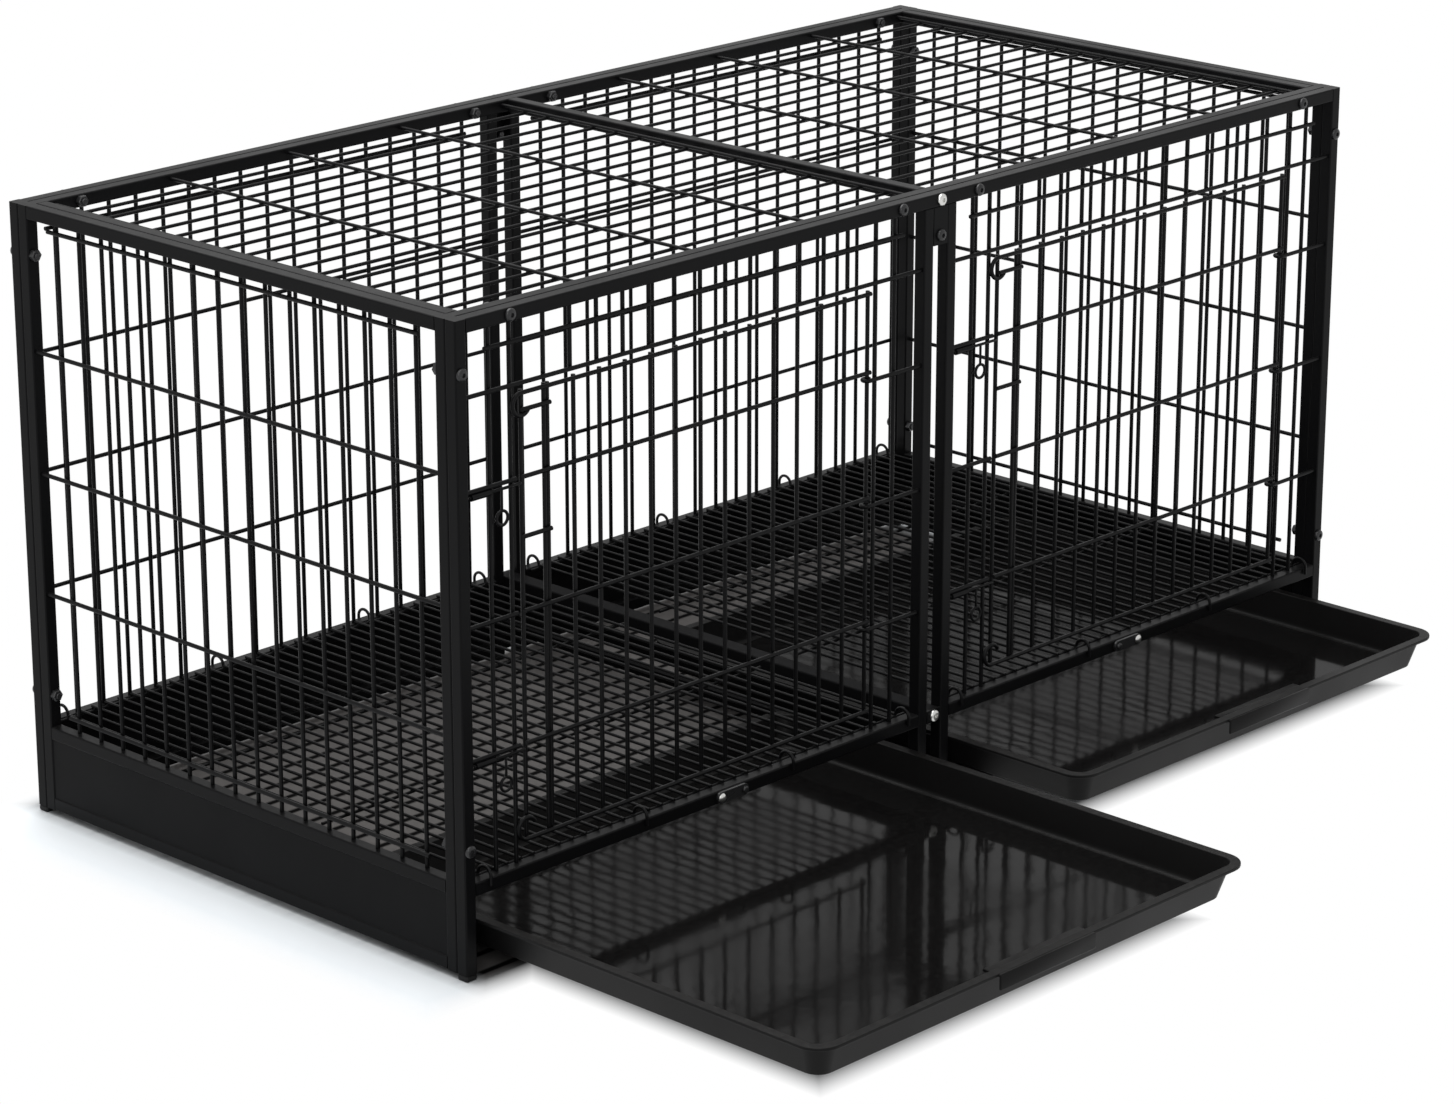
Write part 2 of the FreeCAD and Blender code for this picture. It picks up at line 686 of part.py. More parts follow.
def nut_at(x, face, z):
    """Makes a hexagon nut on the inner side of two tubes that a bolt holds together."""
    place, way = FACES[face]
    turn = ALONG["y"] if way > 0 else Rotation(Vector(1, 0, 0), 90)
    body = doc.addObject("Part::Prism", "nut")
    body.Polygon = 6
    bind(body, Circumradius="nut_width / 2", Height="nut_height")
    put(body, x, "%s + %d * grip" % (place, way), z, turn)
    bore = doc.addObject("Part::Cylinder", "thread")
    bind(bore, Radius="bolt_shank / 2", Height="nut_height")
    put(bore, x, "%s + %d * grip" % (place, way), z, turn)
    return cut(body, bore)


def build_fasteners():
    """Makes the bolts and nuts that hold the panels together."""
    bolts, nuts = [], []
    for face in FACES:
        through = []
        for x in ("left_side + tube / 2", "right_side - tube / 2"):
            through += [(x, z) for z in CORNER_BOLTS]
        for x in ("left_side + rail_bolt_end", "-rail_bolt_middle", "rail_bolt_middle", "right_side - rail_bolt_end"):
            through.append((x, "cage_height - tube / 2"))
        for x, z in through:
            bolts.append(bolt_at(x, face, z, "bolt_length"))
            nuts.append(nut_at(x, face, z))
        bolts.append(bolt_at("0", face, "cage_height - tube / 2", "bolt_length"))
        bolts.append(bolt_at("0", face, "rail_under - plate_height + plate_bolt_rise", "plate_bolt_grip"))
        bolts.append(bolt_at("0", face, "floor_top - tube / 2", "plate_bolt_grip"))
    group("panel_bolts", bolts)
    group("panel_nuts", nuts)


def build_feet():
    """Makes the plastic feet, each plugged into the lower end of a post."""
    feet = []
    middle = "slot_gap / 2 + tube / 2"
    lines = ("left_side + tube / 2", "-(%s)" % middle, middle, "right_side - tube / 2")
    for face in FACES:
        for line in lines:
            body = doc.addObject("PartDesign::Body", "foot")
            sole = new_sketch(body, "XY_Plane")
            draw_rectangle(sole, "tube", "tube")
            cap = pad(body, sole, "foot_height")
            shaped = round_edges(body, cap, "tube_corner", stands)
            round_edges(body, shaped, "foot_round", lambda edge: edge.BoundBox.ZMax < 1e-6)
            stub = new_sketch(body, "XY_Plane", "foot_height")
            draw_rectangle(stub, "bore - 2 * plug_play", "bore - 2 * plug_play")
            pad(body, stub, "plug_length")
            feet.append(put(body, line, face_line(face, "tube / 2"), "0"))
    group("feet", feet)


def build_runners():
    """Makes the angle strips that carry the rims of the trays."""
    strips = []
    for bay in BAYS.values():
        for start, way in ((bay, 1), ("%s + bay_width" % bay, -1)):
            leg_x = start if way > 0 else "%s - runner_sheet" % start
            shelf_x = start if way > 0 else "%s - runner_shelf" % start
            leg = block(leg_x, "front + runner_setback", "runner_top - runner_leg", "runner_sheet", "runner_length",
                        "runner_leg")
            shelf = block(shelf_x, "front + runner_setback", "runner_top - runner_sheet", "runner_shelf",
                          "runner_length", "runner_sheet")
            strips.append(fuse([leg, shelf]))
    group("tray_runners", strips)


def build_tray_locks():
    """Makes the swivel locks on the front floor rails and the rivets that they turn on."""
    rivets = []
    for side, bay in BAYS.items():
        way = 1 if side == "left" else -1
        pivot = "%s + %s" % (bay, lock_pivot(side))
        tip = "%s + %d * lock_reach" % (pivot, way)
        face = "lock_back - lock_sheet"
        strap = block(pivot if way > 0 else tip, face, "lock_line - lock_width / 2", "lock_reach", "lock_sheet",
                      "lock_width")
        ends = [rod("y", x, face, "lock_line", "lock_sheet", "lock_width") for x in (pivot, tip)]
        stud = rod("y", tip, "%s - stud_height" % face, "lock_line", "stud_height", "stud_width")
        hole = rod("y", pivot, face, "lock_line", "lock_sheet", "rivet_shank + 2 * eye_play")
        node(cut(fuse([strap, stud] + ends), hole), "%s_tray_lock" % side)
        head = rod("y", pivot, "%s - lock_play - rivet_head_height" % face, "lock_line", "rivet_head_height",
                   "rivet_head")
        shank = rod("y", pivot, "%s - lock_play" % face, "lock_line", "2 * lock_play + lock_sheet + rivet_tail",
                    "rivet_shank")
        rivets.append(fuse([head, shank]))
    group("lock_rivets", rivets)


def build_trays():
    """Makes the two trays, pulled out by their own distances."""
    for side, bay in BAYS.items():
        body = doc.addObject("PartDesign::Body", "%s_tray" % side)
        levels = (("0", "tub_width - 2 * tray_flare", "tub_depth - 2 * tray_flare", "tray_corner - tray_flare"),
                  ("rim_under", "tub_width", "tub_depth", "tray_corner - tray_lip / 2"))
        outer = []
        for height, width, depth, radius in levels:
            section = new_sketch(body, "XY_Plane", height)
            draw_round_rectangle(section, width, depth, radius)
            outer.append(section)
        shell = body.newObject("PartDesign::AdditiveLoft", "tub")
        shell.Profile = outer[0]
        shell.Sections = [outer[1]]
        shell.Ruled = True
        rim = new_sketch(body, "XY_Plane", "rim_under")
        draw_round_rectangle(rim, "tray_width", "tray_depth", "tray_corner")
        pad(body, rim, "tray_rim")
        curtain = new_sketch(body, "XY_Plane", "tray_height - pull_drop")
        draw_rectangle(curtain, "pull_width", "pull_wall", "(pull_wall - tray_depth) / 2 - pull_reach")
        pad(body, curtain, "pull_drop")
        inner = []
        slope = "tray_flare / rim_under"
        for height in ("tray_wall", "tray_height"):
            spread = "2 * (tray_wall + tray_flare - (%s) * %s)" % (height, slope)
            section = new_sketch(body, "XY_Plane", height)
            draw_round_rectangle(section, "tub_width - (%s)" % spread, "tub_depth - (%s)" % spread,
                                 "tray_corner - tray_flare")
            inner.append(section)
        hollow = body.newObject("PartDesign::SubtractiveLoft", "hollow")
        hollow.Profile = inner[0]
        hollow.Sections = [inner[1]]
        hollow.Ruled = True
        ledge = new_sketch(body, "XY_Plane", "rim_under")
        draw_rectangle(ledge, "pull_width", "pull_reach + pull_ledge", "(pull_ledge - pull_reach - tray_depth) / 2")
        pad(body, ledge, "tray_rim")
        node(put(body, "%s + bay_width / 2" % bay, "tray_middle - %s_tray_pull" % side, "tray_base"),
             "%s_tray" % side)


def check_and_write():
    """Recomputes the document, checks every object and writes each piece to its own file."""
    doc.recompute()
    failed = [thing.Label for thing in doc.Objects if "Invalid" in thing.State or "Error" in thing.State]
    for piece in nodes:
        if piece.Shape.isNull() or not piece.Shape.isValid() or not piece.Shape.Solids:
            failed.append(piece.Label)
    if failed:
        raise RuntimeError("failed objects: " + ", ".join(failed))
    os.makedirs("parts", exist_ok=True)
    for piece in nodes:
        piece.Shape.exportStep("parts/%s.step" % piece.Label)
        print("%-28s solids %3d  volume %12.1f" % (piece.Label, len(piece.Shape.Solids), piece.Shape.Volume))
    print(len(nodes), "pieces")


fill_sheet()
build_long_panels()
build_rear_skirts()
build_rear_wires()
build_end_panels()
build_end_wires()
build_top_panel()
build_front_wires()
build_doors()
build_slide_bolts()
build_floor_grates()
build_middle()
build_fasteners()
build_feet()
build_runners()
build_tray_locks()
build_trays()
check_and_write()
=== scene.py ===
"""Dresses the two-bay wire pet cage for its picture.

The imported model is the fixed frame. Its tubes, sheets and wires keep their solids and get a powder coat. The moulded
trays, feet, fasteners, slide bolts and tray locks are modelled here in finer shapes that stand for their solids, and
weld beads are added where wires cross. Lengths are in metres in the model's frame, where -Y is the side with doors.
"""

import logging
import math
from dataclasses import dataclass
from enum import Enum
from typing import Iterator, Sequence

import bmesh
import bpy
from mathutils import Matrix, Vector


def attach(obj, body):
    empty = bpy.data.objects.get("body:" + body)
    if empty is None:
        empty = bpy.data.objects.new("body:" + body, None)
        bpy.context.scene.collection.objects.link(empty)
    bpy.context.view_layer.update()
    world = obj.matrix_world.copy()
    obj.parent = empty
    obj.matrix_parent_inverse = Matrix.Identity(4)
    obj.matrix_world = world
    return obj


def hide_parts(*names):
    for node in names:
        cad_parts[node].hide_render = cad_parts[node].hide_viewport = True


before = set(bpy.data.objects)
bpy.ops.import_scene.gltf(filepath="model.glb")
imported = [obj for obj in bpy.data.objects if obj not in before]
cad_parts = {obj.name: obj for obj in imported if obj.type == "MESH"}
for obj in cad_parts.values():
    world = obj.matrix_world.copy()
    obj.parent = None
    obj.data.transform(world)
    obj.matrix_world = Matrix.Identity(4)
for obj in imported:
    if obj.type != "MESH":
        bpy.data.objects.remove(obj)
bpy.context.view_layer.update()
LOG = logging.getLogger("pet_cage")

Point = tuple[float, float, float]
Pair = tuple[float, float]
Colour = tuple[float, float, float, float]
Weld = tuple[Point, int]  # the middle of a weld and the axis that its thickness lies along
Loop = list[bmesh.types.BMEdge]
Socket = bpy.types.NodeSocket
Feeds = dict[str | int, Socket | Colour | float]  # what goes into a node's inputs, by their names or numbers

AXIS_X, AXIS_Y, AXIS_Z = range(3)
TO_FRONT = Matrix.Rotation(math.pi / 2, 4, "X")  # turns +Z to -Y
WHITE = (1.0, 1.0, 1.0, 1.0)

# sockets of a Mix node that blends colours
MIX_MASK, MIX_FIRST, MIX_SECOND, MIX_RESULT = 0, 6, 7, 2


class Face(Enum):
    """The two long faces of the cage, with the way that points into it along Y."""

    FRONT = 1
    REAR = -1


class Side(Enum):
    """The two bays and the two ends, with the way that points from the middle along X."""

    LEFT = -1
    RIGHT = 1

    @property
    def label(self) -> str:
        """Gives the word that the nodes of this side start with."""
        return self.name.lower()


def lines_between(start: float, size: float, gaps: int, ends: int = 0) -> list[float]:
    """Gives the lines that part a size into even gaps, and with ends=1 also the lines at both ends."""
    return [start + n * size / gaps for n in range(1 - ends, gaps + ends)]


@dataclass(frozen=True)
class Layout:
    """Sizes of the cage that its finer pieces are placed by."""

    length: float = 1.220
    depth: float = 0.593
    height: float = 0.594
    tube: float = 0.0127
    slot_gap: float = 0.019
    floor_top: float = 0.090
    wire: float = 0.0040
    roof_wire: float = 0.0033
    wire_inset: float = 0.00457
    eye_play: float = 0.00008
    top_wire_drop: float = 0.019
    end_wire_drop: float = 0.008
    bottom_wire_rise: float = 0.014
    header_drop: float = 0.057
    door_head_gap: float = 0.009
    door_sill_gap: float = 0.021
    door_low_row: float = 0.110
    door_high_drop: float = 0.0743
    latch_strip: float = 0.069
    hinge_strip: float = 0.068
    latch_jamb: float = 0.057
    hinge_jamb: float = 0.058
    strip_upright: float = 0.032
    roof_wire_depth: float = 0.008
    bar_wire_gap: float = 0.008
    cross_inset: float = 0.003
    bay_gaps: int = 18
    short_skip: int = 2
    end_gaps: int = 17
    roof_gaps: int = 17
    door_gaps: int = 14
    floor_gaps: int = 36
    level_gaps: int = 4
    stiffener_gaps: int = 4
    cross_gaps: int = 3

    @property
    def bay_width(self) -> float:
        """Gives the clear width between the posts of a bay."""
        return (self.length - 4 * self.tube - self.slot_gap) / 2

    @property
    def end_depth(self) -> float:
        """Gives the clear depth between the posts of an end panel."""
        return self.depth - 4 * self.tube

    @property
    def rail_under(self) -> float:
        """Gives the height of the underside of the top rails."""
        return self.height - self.tube

    @property
    def front_rows(self) -> float:
        """Gives the Y line of the fixed rows of wire in the front panel."""
        return -self.depth / 2 + self.wire_inset

    @property
    def header(self) -> float:
        """Gives the height of the row of wire above the doors."""
        return self.rail_under - self.header_drop

    def bay_start(self, side: Side) -> float:
        """Gives the X line of the left edge of a bay."""
        return -self.length / 2 + self.tube if side is Side.LEFT else self.slot_gap / 2 + self.tube

    def face_line(self, face: Face, inset: float) -> float:
        """Gives the Y line at an inset from the front or rear face."""
        return -face.value * (self.depth / 2 - inset)

    def panel_rows(self, top_drop: float) -> list[float]:
        """Gives the heights of a panel's rows of wire, from the lowest, which only the end panels have."""
        low, high = self.floor_top + self.bottom_wire_rise, self.rail_under - top_drop
        return lines_between(low, high - low, self.level_gaps, ends=1)

    def door_rows(self) -> list[float]:
        """Places the rows of a door.

        Returns:
            Their heights, from the bottom to the top.
        """
        top = self.header - self.door_head_gap
        low, high = self.floor_top + self.door_low_row, top - self.door_high_drop
        return [self.floor_top + self.door_sill_gap, low, (low + high) / 2, high, top]


LAYOUT = Layout()


def new_group(name: str, values: Sequence[str], results: Sequence[str]) -> bpy.types.NodeTree:
    """Starts a shader node group that reads coordinates.

    Args:
        name: The group's name.
        values: The names of its value inputs, beside the coordinates.
        results: The names of its value outputs.

    Returns:
        The group with its sockets and no nodes.
    """
    group = bpy.data.node_groups.new(name, "ShaderNodeTree")
    group.interface.new_socket(name="Vector", in_out="INPUT", socket_type="NodeSocketVector")
    for way, names in (("INPUT", values), ("OUTPUT", results)):
        for socket in names:
            group.interface.new_socket(name=socket, in_out=way, socket_type="NodeSocketFloat")
    return group


class NodeSheet:
    """A node tree with short calls to add nodes and join them."""

    def __init__(self, tree: bpy.types.NodeTree) -> None:
        """Keeps the tree."""
        self.tree = tree

    def feed(self, node: bpy.types.Node, feeds: Feeds) -> None:
        """Links outputs to a node's inputs, or gives the inputs fixed values.

        Args:
            node: The node.
            feeds: What goes into its inputs.
        """
        for place, source in feeds.items():
            if isinstance(source, Socket):
                self.tree.links.new(source, node.inputs[place])
            else:
                node.inputs[place].default_value = source

    def add(self, kind: str, feeds: Feeds | None = None, **settings: object) -> bpy.types.Node:
        """Adds a node, sets its properties and feeds its inputs.

        Args:
            kind: The node's type.
            feeds: What goes into its inputs, if anything.
            settings: Properties of the node by name.

        Returns:
            The new node.
        """
        node = self.tree.nodes.new(kind)
        for name, value in settings.items():
            setattr(node, name, value)
        self.feed(node, feeds or {})
        return node

    def noise(self, vector: Socket, scale: Socket | float, detail: float) -> Socket:
        """Adds a noise texture that reads coordinates, and gives its value."""
        feeds = {"Vector": vector, "Scale": scale, "Detail": detail}
        return self.add("ShaderNodeTexNoise", feeds).outputs["Fac"]

    def remap(self, value: Socket, read: Pair, given: Pair = (0.0, 1.0)) -> Socket:
        """Maps the range of values that is read to the one that is given, and clamps the result."""
        feeds = {"Value": value, "From Min": read[0], "From Max": read[1], "To Min": given[0], "To Max": given[1]}
        return self.add("ShaderNodeMapRange", feeds).outputs["Result"]

    def math(self, operation: str, first: Socket, second: Socket | float = 0.0) -> Socket:
        """Works out a value from another and a second value or number, and gives the result."""
        return self.add("ShaderNodeMath", {0: first, 1: second}, operation=operation).outputs[0]

    def blend(self, mask: Socket, first: Socket | Colour, second: Colour) -> Socket:
        """Blends two colours, with the first where the mask is 0 and the second where it is 1."""
        feeds = {MIX_MASK: mask, MIX_FIRST: first, MIX_SECOND: second}
        return self.add("ShaderNodeMix", feeds, data_type="RGBA").outputs[MIX_RESULT]


class SharedEffects:
    """Shader node groups that several finishes use."""

    PEEL_DETAIL, SLOW_DETAIL = 2.0, 4.0
    LEVEL = (0.5, 0.95)
    SPECK_SCALE, SPECK_DETAIL = 160.0, 6.0
    SPECK_READ, SPECK_GIVEN = (0.42, 0.72), (0.15, 1.0)

    def __init__(self) -> None:
        """Builds both groups once."""
        self.skin = self._coat_skin()
        self.dust = self._settled_dust()

    def _coat_skin(self) -> bpy.types.NodeTree:
        """Builds the fine orange peel and slow unevenness of a sprayed or moulded skin.

        Returns:
            A group that puts out a bump height and a slow variation.
        """
        group = new_group("coat_skin", ("Peel Scale", "Slow Scale"), ("Height", "Variation"))
        sheet = NodeSheet(group)
        start = sheet.add("NodeGroupInput").outputs
        sheet.add("NodeGroupOutput", {
            "Height": sheet.noise(start["Vector"], start["Peel Scale"], self.PEEL_DETAIL),
            "Variation": sheet.noise(start["Vector"], start["Slow Scale"], self.SLOW_DETAIL)})
        return group

    def _settled_dust(self) -> bpy.types.NodeTree:
        """Builds the faint dust that settles on faces that look up.

        Returns:
            A group that puts out the dust's mask.
        """
        group = new_group("settled_dust", ("Amount",), ("Mask",))
        sheet = NodeSheet(group)
        start = sheet.add("NodeGroupInput").outputs
        normal = sheet.add("ShaderNodeNewGeometry").outputs["Normal"]
        parts = sheet.add("ShaderNodeSeparateXYZ", {"Vector": normal})
        upward = sheet.remap(parts.outputs["Z"], self.LEVEL)
        noise = sheet.noise(start["Vector"], self.SPECK_SCALE, self.SPECK_DETAIL)
        settled = sheet.math("MULTIPLY", upward, sheet.remap(noise, self.SPECK_READ, self.SPECK_GIVEN))
        sheet.add("NodeGroupOutput", {"Mask": sheet.math("MULTIPLY", settled, start["Amount"])})
        return group


@dataclass(frozen=True)
class CoatFinish:
    """A sprayed or moulded finish: a base colour with peel, slow roughness variation and settled dust."""

    name: str
    colour: Colour
    rough_low: float
    rough_high: float
    peel_scale: float = 700.0
    peel_height: float = 0.00002
    slow_scale: float = 9.0
    dust: float = 0.05
    dust_colour: Colour = (0.22, 0.215, 0.205, 1.0)
    metallic: float = 0.0
    specular: float = 0.5
    ripple_scale: float = 0.0
    ripple_height: float = 0.0
    ripple_detail: float = 2.0
    vary: Pair = (0.3, 0.7)

    def material(self, effects: SharedEffects) -> bpy.types.Material:
        """Builds the material.

        Args:
            effects: The shared node groups.

        Returns:
            The finished material.
        """
        made = bpy.data.materials.new(self.name)
        made.use_nodes = True
        sheet = NodeSheet(made.node_tree)
        place = sheet.add("ShaderNodeTexCoord").outputs["Object"]
        skin = sheet.add("ShaderNodeGroup", {"Vector": place, "Peel Scale": self.peel_scale,
                                             "Slow Scale": self.slow_scale}, node_tree=effects.skin).outputs
        dust = sheet.add("ShaderNodeGroup", {"Vector": place, "Amount": self.dust}, node_tree=effects.dust).outputs
        bump: Feeds = {"Height": skin["Height"], "Distance": self.peel_height}
        if self.ripple_height:
            waves = sheet.noise(place, self.ripple_scale, self.ripple_detail)
            ripple = sheet.add("ShaderNodeBump", {"Height": waves, "Distance": self.ripple_height})
            bump["Normal"] = ripple.outputs["Normal"]
        sheet.feed(made.node_tree.nodes["Principled BSDF"], {
            "Base Color": sheet.blend(dust["Mask"], self.colour, self.dust_colour),
            "Roughness": sheet.remap(skin["Variation"], self.vary, (self.rough_low, self.rough_high)),
            "Metallic": self.metallic, "Specular IOR Level": self.specular,
            "Normal": sheet.add("ShaderNodeBump", bump).outputs["Normal"]})
        return made


class Finishes:
    """All materials of the cage, made once."""

    def __init__(self) -> None:
        """Makes every finish."""
        effects = SharedEffects()

        def coat(name: str, colour: Colour, low: float, high: float, **rest: float) -> bpy.types.Material:
            """Makes one finish from its roughness and the values that are not the usual ones."""
            return CoatFinish(name, colour, low, high, **rest).material(effects)

        black = (0.0038, 0.0038, 0.0041, 1.0)
        self.tube = coat("tube_powder_coat", black, 0.30, 0.42, dust=0.03, specular=0.07)
        self.wire = coat("wire_powder_coat", black, 0.26, 0.38, peel_scale=900.0, dust=0.02, specular=0.10)
        self.sheet = coat("skirt_powder_coat", black, 0.40, 0.52, dust=0.03, specular=0.06, ripple_scale=14.0,
                          ripple_height=0.0004)
        self.dull = coat("dull_coat", black, 0.55, 0.68, dust=0.01, specular=0.04)
        self.weld = coat("weld_coat", black, 0.34, 0.46, peel_scale=1500.0, peel_height=0.00005, dust=0.03,
                         specular=0.16)
        dark_steel, zinc, foot_black = (0.022, 0.022, 0.023, 1.0), (0.66, 0.66, 0.64, 1.0), (0.007, 0.007, 0.0072, 1.0)
        self.bolt = coat("dark_bolt", dark_steel, 0.22, 0.34, peel_scale=1800.0, metallic=0.4, dust=0.02)
        self.zinc = coat("bright_zinc", zinc, 0.22, 0.36, peel_scale=1600.0, metallic=1.0, dust=0.0)
        self.foot = coat("foot_plastic", foot_black, 0.48, 0.60, peel_scale=1200.0, peel_height=0.00004, dust=0.03,
                         specular=0.2)
        plastic = (0.0042, 0.0040, 0.0040, 1.0)
        self.tray_floor = coat("tray_floor_plastic", plastic, 0.05, 0.11, peel_scale=300.0, peel_height=0.00001,
                               slow_scale=6.0, dust=0.015, specular=0.06, ripple_scale=18.0, ripple_height=0.00022)
        self.tray_wall = coat("tray_wall_plastic", plastic, 0.34, 0.46, peel_scale=1100.0, peel_height=0.00003,
                              dust=0.04, specular=0.10)


class Mould:
    """A mesh in the making, with the few shapes that the pieces of the cage are made from."""

    CORNER_STEPS = 8
    SECTION_STEPS = 10
    ROUND_STEPS = 24
    RING_STEPS = 28
    BAR_STEPS = 14
    BAR_ROUNDING = 0.4
    BAR_CHAMFER = 0.3
    BEAD_STEPS = (8, 5)
    BEVEL_STEPS = 2
    BEVEL_ANGLE = 30.0
    SAME_SPOT = 1e-7

    def __init__(self) -> None:
        """Starts empty."""
        self.mesh = bmesh.new()

    def place(self, verts: Sequence[bmesh.types.BMVert], matrix: Matrix) -> None:
        """Moves vertices by a matrix."""
        bmesh.ops.transform(self.mesh, matrix=matrix, verts=list(verts))

    def hold(self) -> None:
        """Marks all vertices as being in place."""
        for vert in self.mesh.verts:
            vert.tag = True

    def _fresh(self) -> list[bmesh.types.BMVert]:
        """Gives the vertices that are not in place yet."""
        return [vert for vert in self.mesh.verts if not vert.tag]

    def _spin(self, geom: list, steps: int) -> None:
        """Spins vertices and edges once round the Z axis."""
        bmesh.ops.spin(self.mesh, geom=geom, cent=(0, 0, 0), axis=(0, 0, 1), angle=math.tau, steps=steps,
                       use_merge=True)

    def loop(self, width: float, depth: float, radius: float, height: float) -> Loop:
        """Draws a level rectangle with round corners about the Z axis.

        Args:
            width: Its size along X.
            depth: Its size along Y.
            radius: The radius of its corners.
            height: Its height.

        Returns:
            The edges of the closed loop.
        """
        grid = bmesh.ops.create_grid(self.mesh, x_segments=1, y_segments=1, size=0.5)
        bmesh.ops.scale(self.mesh, vec=(width, depth, 1.0), verts=grid["verts"])
        bmesh.ops.translate(self.mesh, vec=(0.0, 0.0, height), verts=grid["verts"])
        rounded = bmesh.ops.bevel(self.mesh, geom=grid["verts"], offset=radius, offset_type="OFFSET",
                                  segments=self.CORNER_STEPS, profile=0.5, affect="VERTICES", material=-1)
        face = rounded["verts"][0].link_faces[0]
        edges = list(face.edges)
        bmesh.ops.delete(self.mesh, geom=[face], context="FACES_ONLY")
        return edges

    def bridge(self, loops: Sequence[Loop], material: int = 0) -> None:
        """Joins closed level loops one after another.

        Loops at one height would be joined with twisted faces, so the loops are spread in height meanwhile.

        Args:
            loops: The loops in order.
            material: The material index of the new faces.
        """
        rings = [{vert for edge in edges for vert in edge.verts} for edges in loops]
        levels = [next(iter(ring)).co.z for ring in rings]
        self._set_levels(rings, range(len(rings)))
        for first, second in zip(loops, loops[1:]):
            for face in bmesh.ops.bridge_loops(self.mesh, edges=first + second)["faces"]:
                face.material_index = material
        self._set_levels(rings, levels)

    @staticmethod
    def _set_levels(rings: Sequence[set[bmesh.types.BMVert]], levels: Sequence[float]) -> None:
        """Moves level rings of vertices.

        Args:
            rings: The vertices of each ring.
            levels: The rings' new heights.
        """
        for ring, level in zip(rings, levels):
            for vert in ring:
                vert.co.z = level

    def fill(self, edges: Loop, material: int = 0) -> None:
        """Closes a loop with one face."""
        bmesh.ops.contextual_create(self.mesh, geom=edges)["faces"][0].material_index = material

    def turned(self, profile: Sequence[Pair], matrix: Matrix, steps: int = ROUND_STEPS) -> None:
        """Spins a profile of radius and height about the Z axis and puts it in place.

        Args:
            profile: Pairs of radius and height, from the axis or back to it.
            matrix: Where the shape goes.
            steps: The number of steps in the full turn.
        """
        verts = [self.mesh.verts.new((radius, 0.0, height)) for radius, height in profile]
        edges = [self.mesh.edges.new(pair) for pair in zip(verts, verts[1:])]
        self._spin(verts + edges, steps)
        bmesh.ops.remove_doubles(self.mesh, verts=self._fresh(), dist=self.SAME_SPOT)
        self.place(self._fresh(), matrix)
        self.hold()

    def ring(self, centre: Point, radius: float, wire: float, turn: Matrix) -> None:
        """Spins a round section into a closed ring.

        Args:
            centre: The ring's centre.
            radius: The radius of its centre line.
            wire: Its thickness.
            turn: How the ring's axis, +Z at first, is turned.
        """
        section = bmesh.ops.create_circle(self.mesh, segments=self.SECTION_STEPS, radius=wire / 2,
                                          cap_ends=False)["verts"]
        self.place(section, Matrix.Translation((radius, 0, 0)) @ TO_FRONT)
        edges = list({edge for vert in section for edge in vert.link_edges})
        self._spin(section + edges, self.RING_STEPS)
        self.place(self._fresh(), Matrix.Translation(centre) @ turn)
        self.hold()

    def bar(self, start: Point, end: Point, wire: float) -> None:
        """Makes a round bar with rounded ends between two points.

        Args:
            start: The middle of its first end.
            end: The middle of its other end.
            wire: Its thickness.
        """
        way = Vector(end) - Vector(start)
        edge, reach = wire / 2, wire * self.BAR_ROUNDING
        cut = self.BAR_CHAMFER * reach
        profile = [(0.0, 0.0), (edge - reach, 0.0), (edge - cut, cut), (edge, reach), (edge, way.length - reach),
                   (edge - cut, way.length - cut), (edge - reach, way.length), (0.0, way.length)]
        turn = way.to_track_quat("Z", "Y").to_matrix().to_4x4()
        self.turned(profile, Matrix.Translation(start) @ turn, self.BAR_STEPS)

    def block(self, low: Point, high: Point, radius: float, segments: int = BEVEL_STEPS) -> None:
        """Makes a box with all its edges rounded.

        Args:
            low: Its lowest corner.
            high: Its highest corner.
            radius: The radius of its edges.
            segments: The number of faces across each rounded edge.
        """
        verts = bmesh.ops.create_cube(self.mesh, size=1.0)["verts"]
        size, middle = Vector(high) - Vector(low), (Vector(high) + Vector(low)) / 2
        self.place(verts, Matrix.Translation(middle) @ Matrix.Diagonal((*size, 1.0)))
        edges = list({edge for vert in verts for edge in vert.link_edges})
        bmesh.ops.bevel(self.mesh, geom=edges, offset=radius, offset_type="OFFSET", segments=segments, profile=0.5,
                        affect="EDGES", material=-1)
        self.hold()

    def bead(self, centre: Point, size: Point) -> None:
        """Makes a small flattened weld bead of a few faces.

        Args:
            centre: Its middle.
            size: Half of its sizes.
        """
        around, along = self.BEAD_STEPS
        verts = bmesh.ops.create_uvsphere(self.mesh, u_segments=around, v_segments=along, radius=1.0)["verts"]
        self.place(verts, Matrix.Translation(centre) @ Matrix.Diagonal((*size, 1.0)))

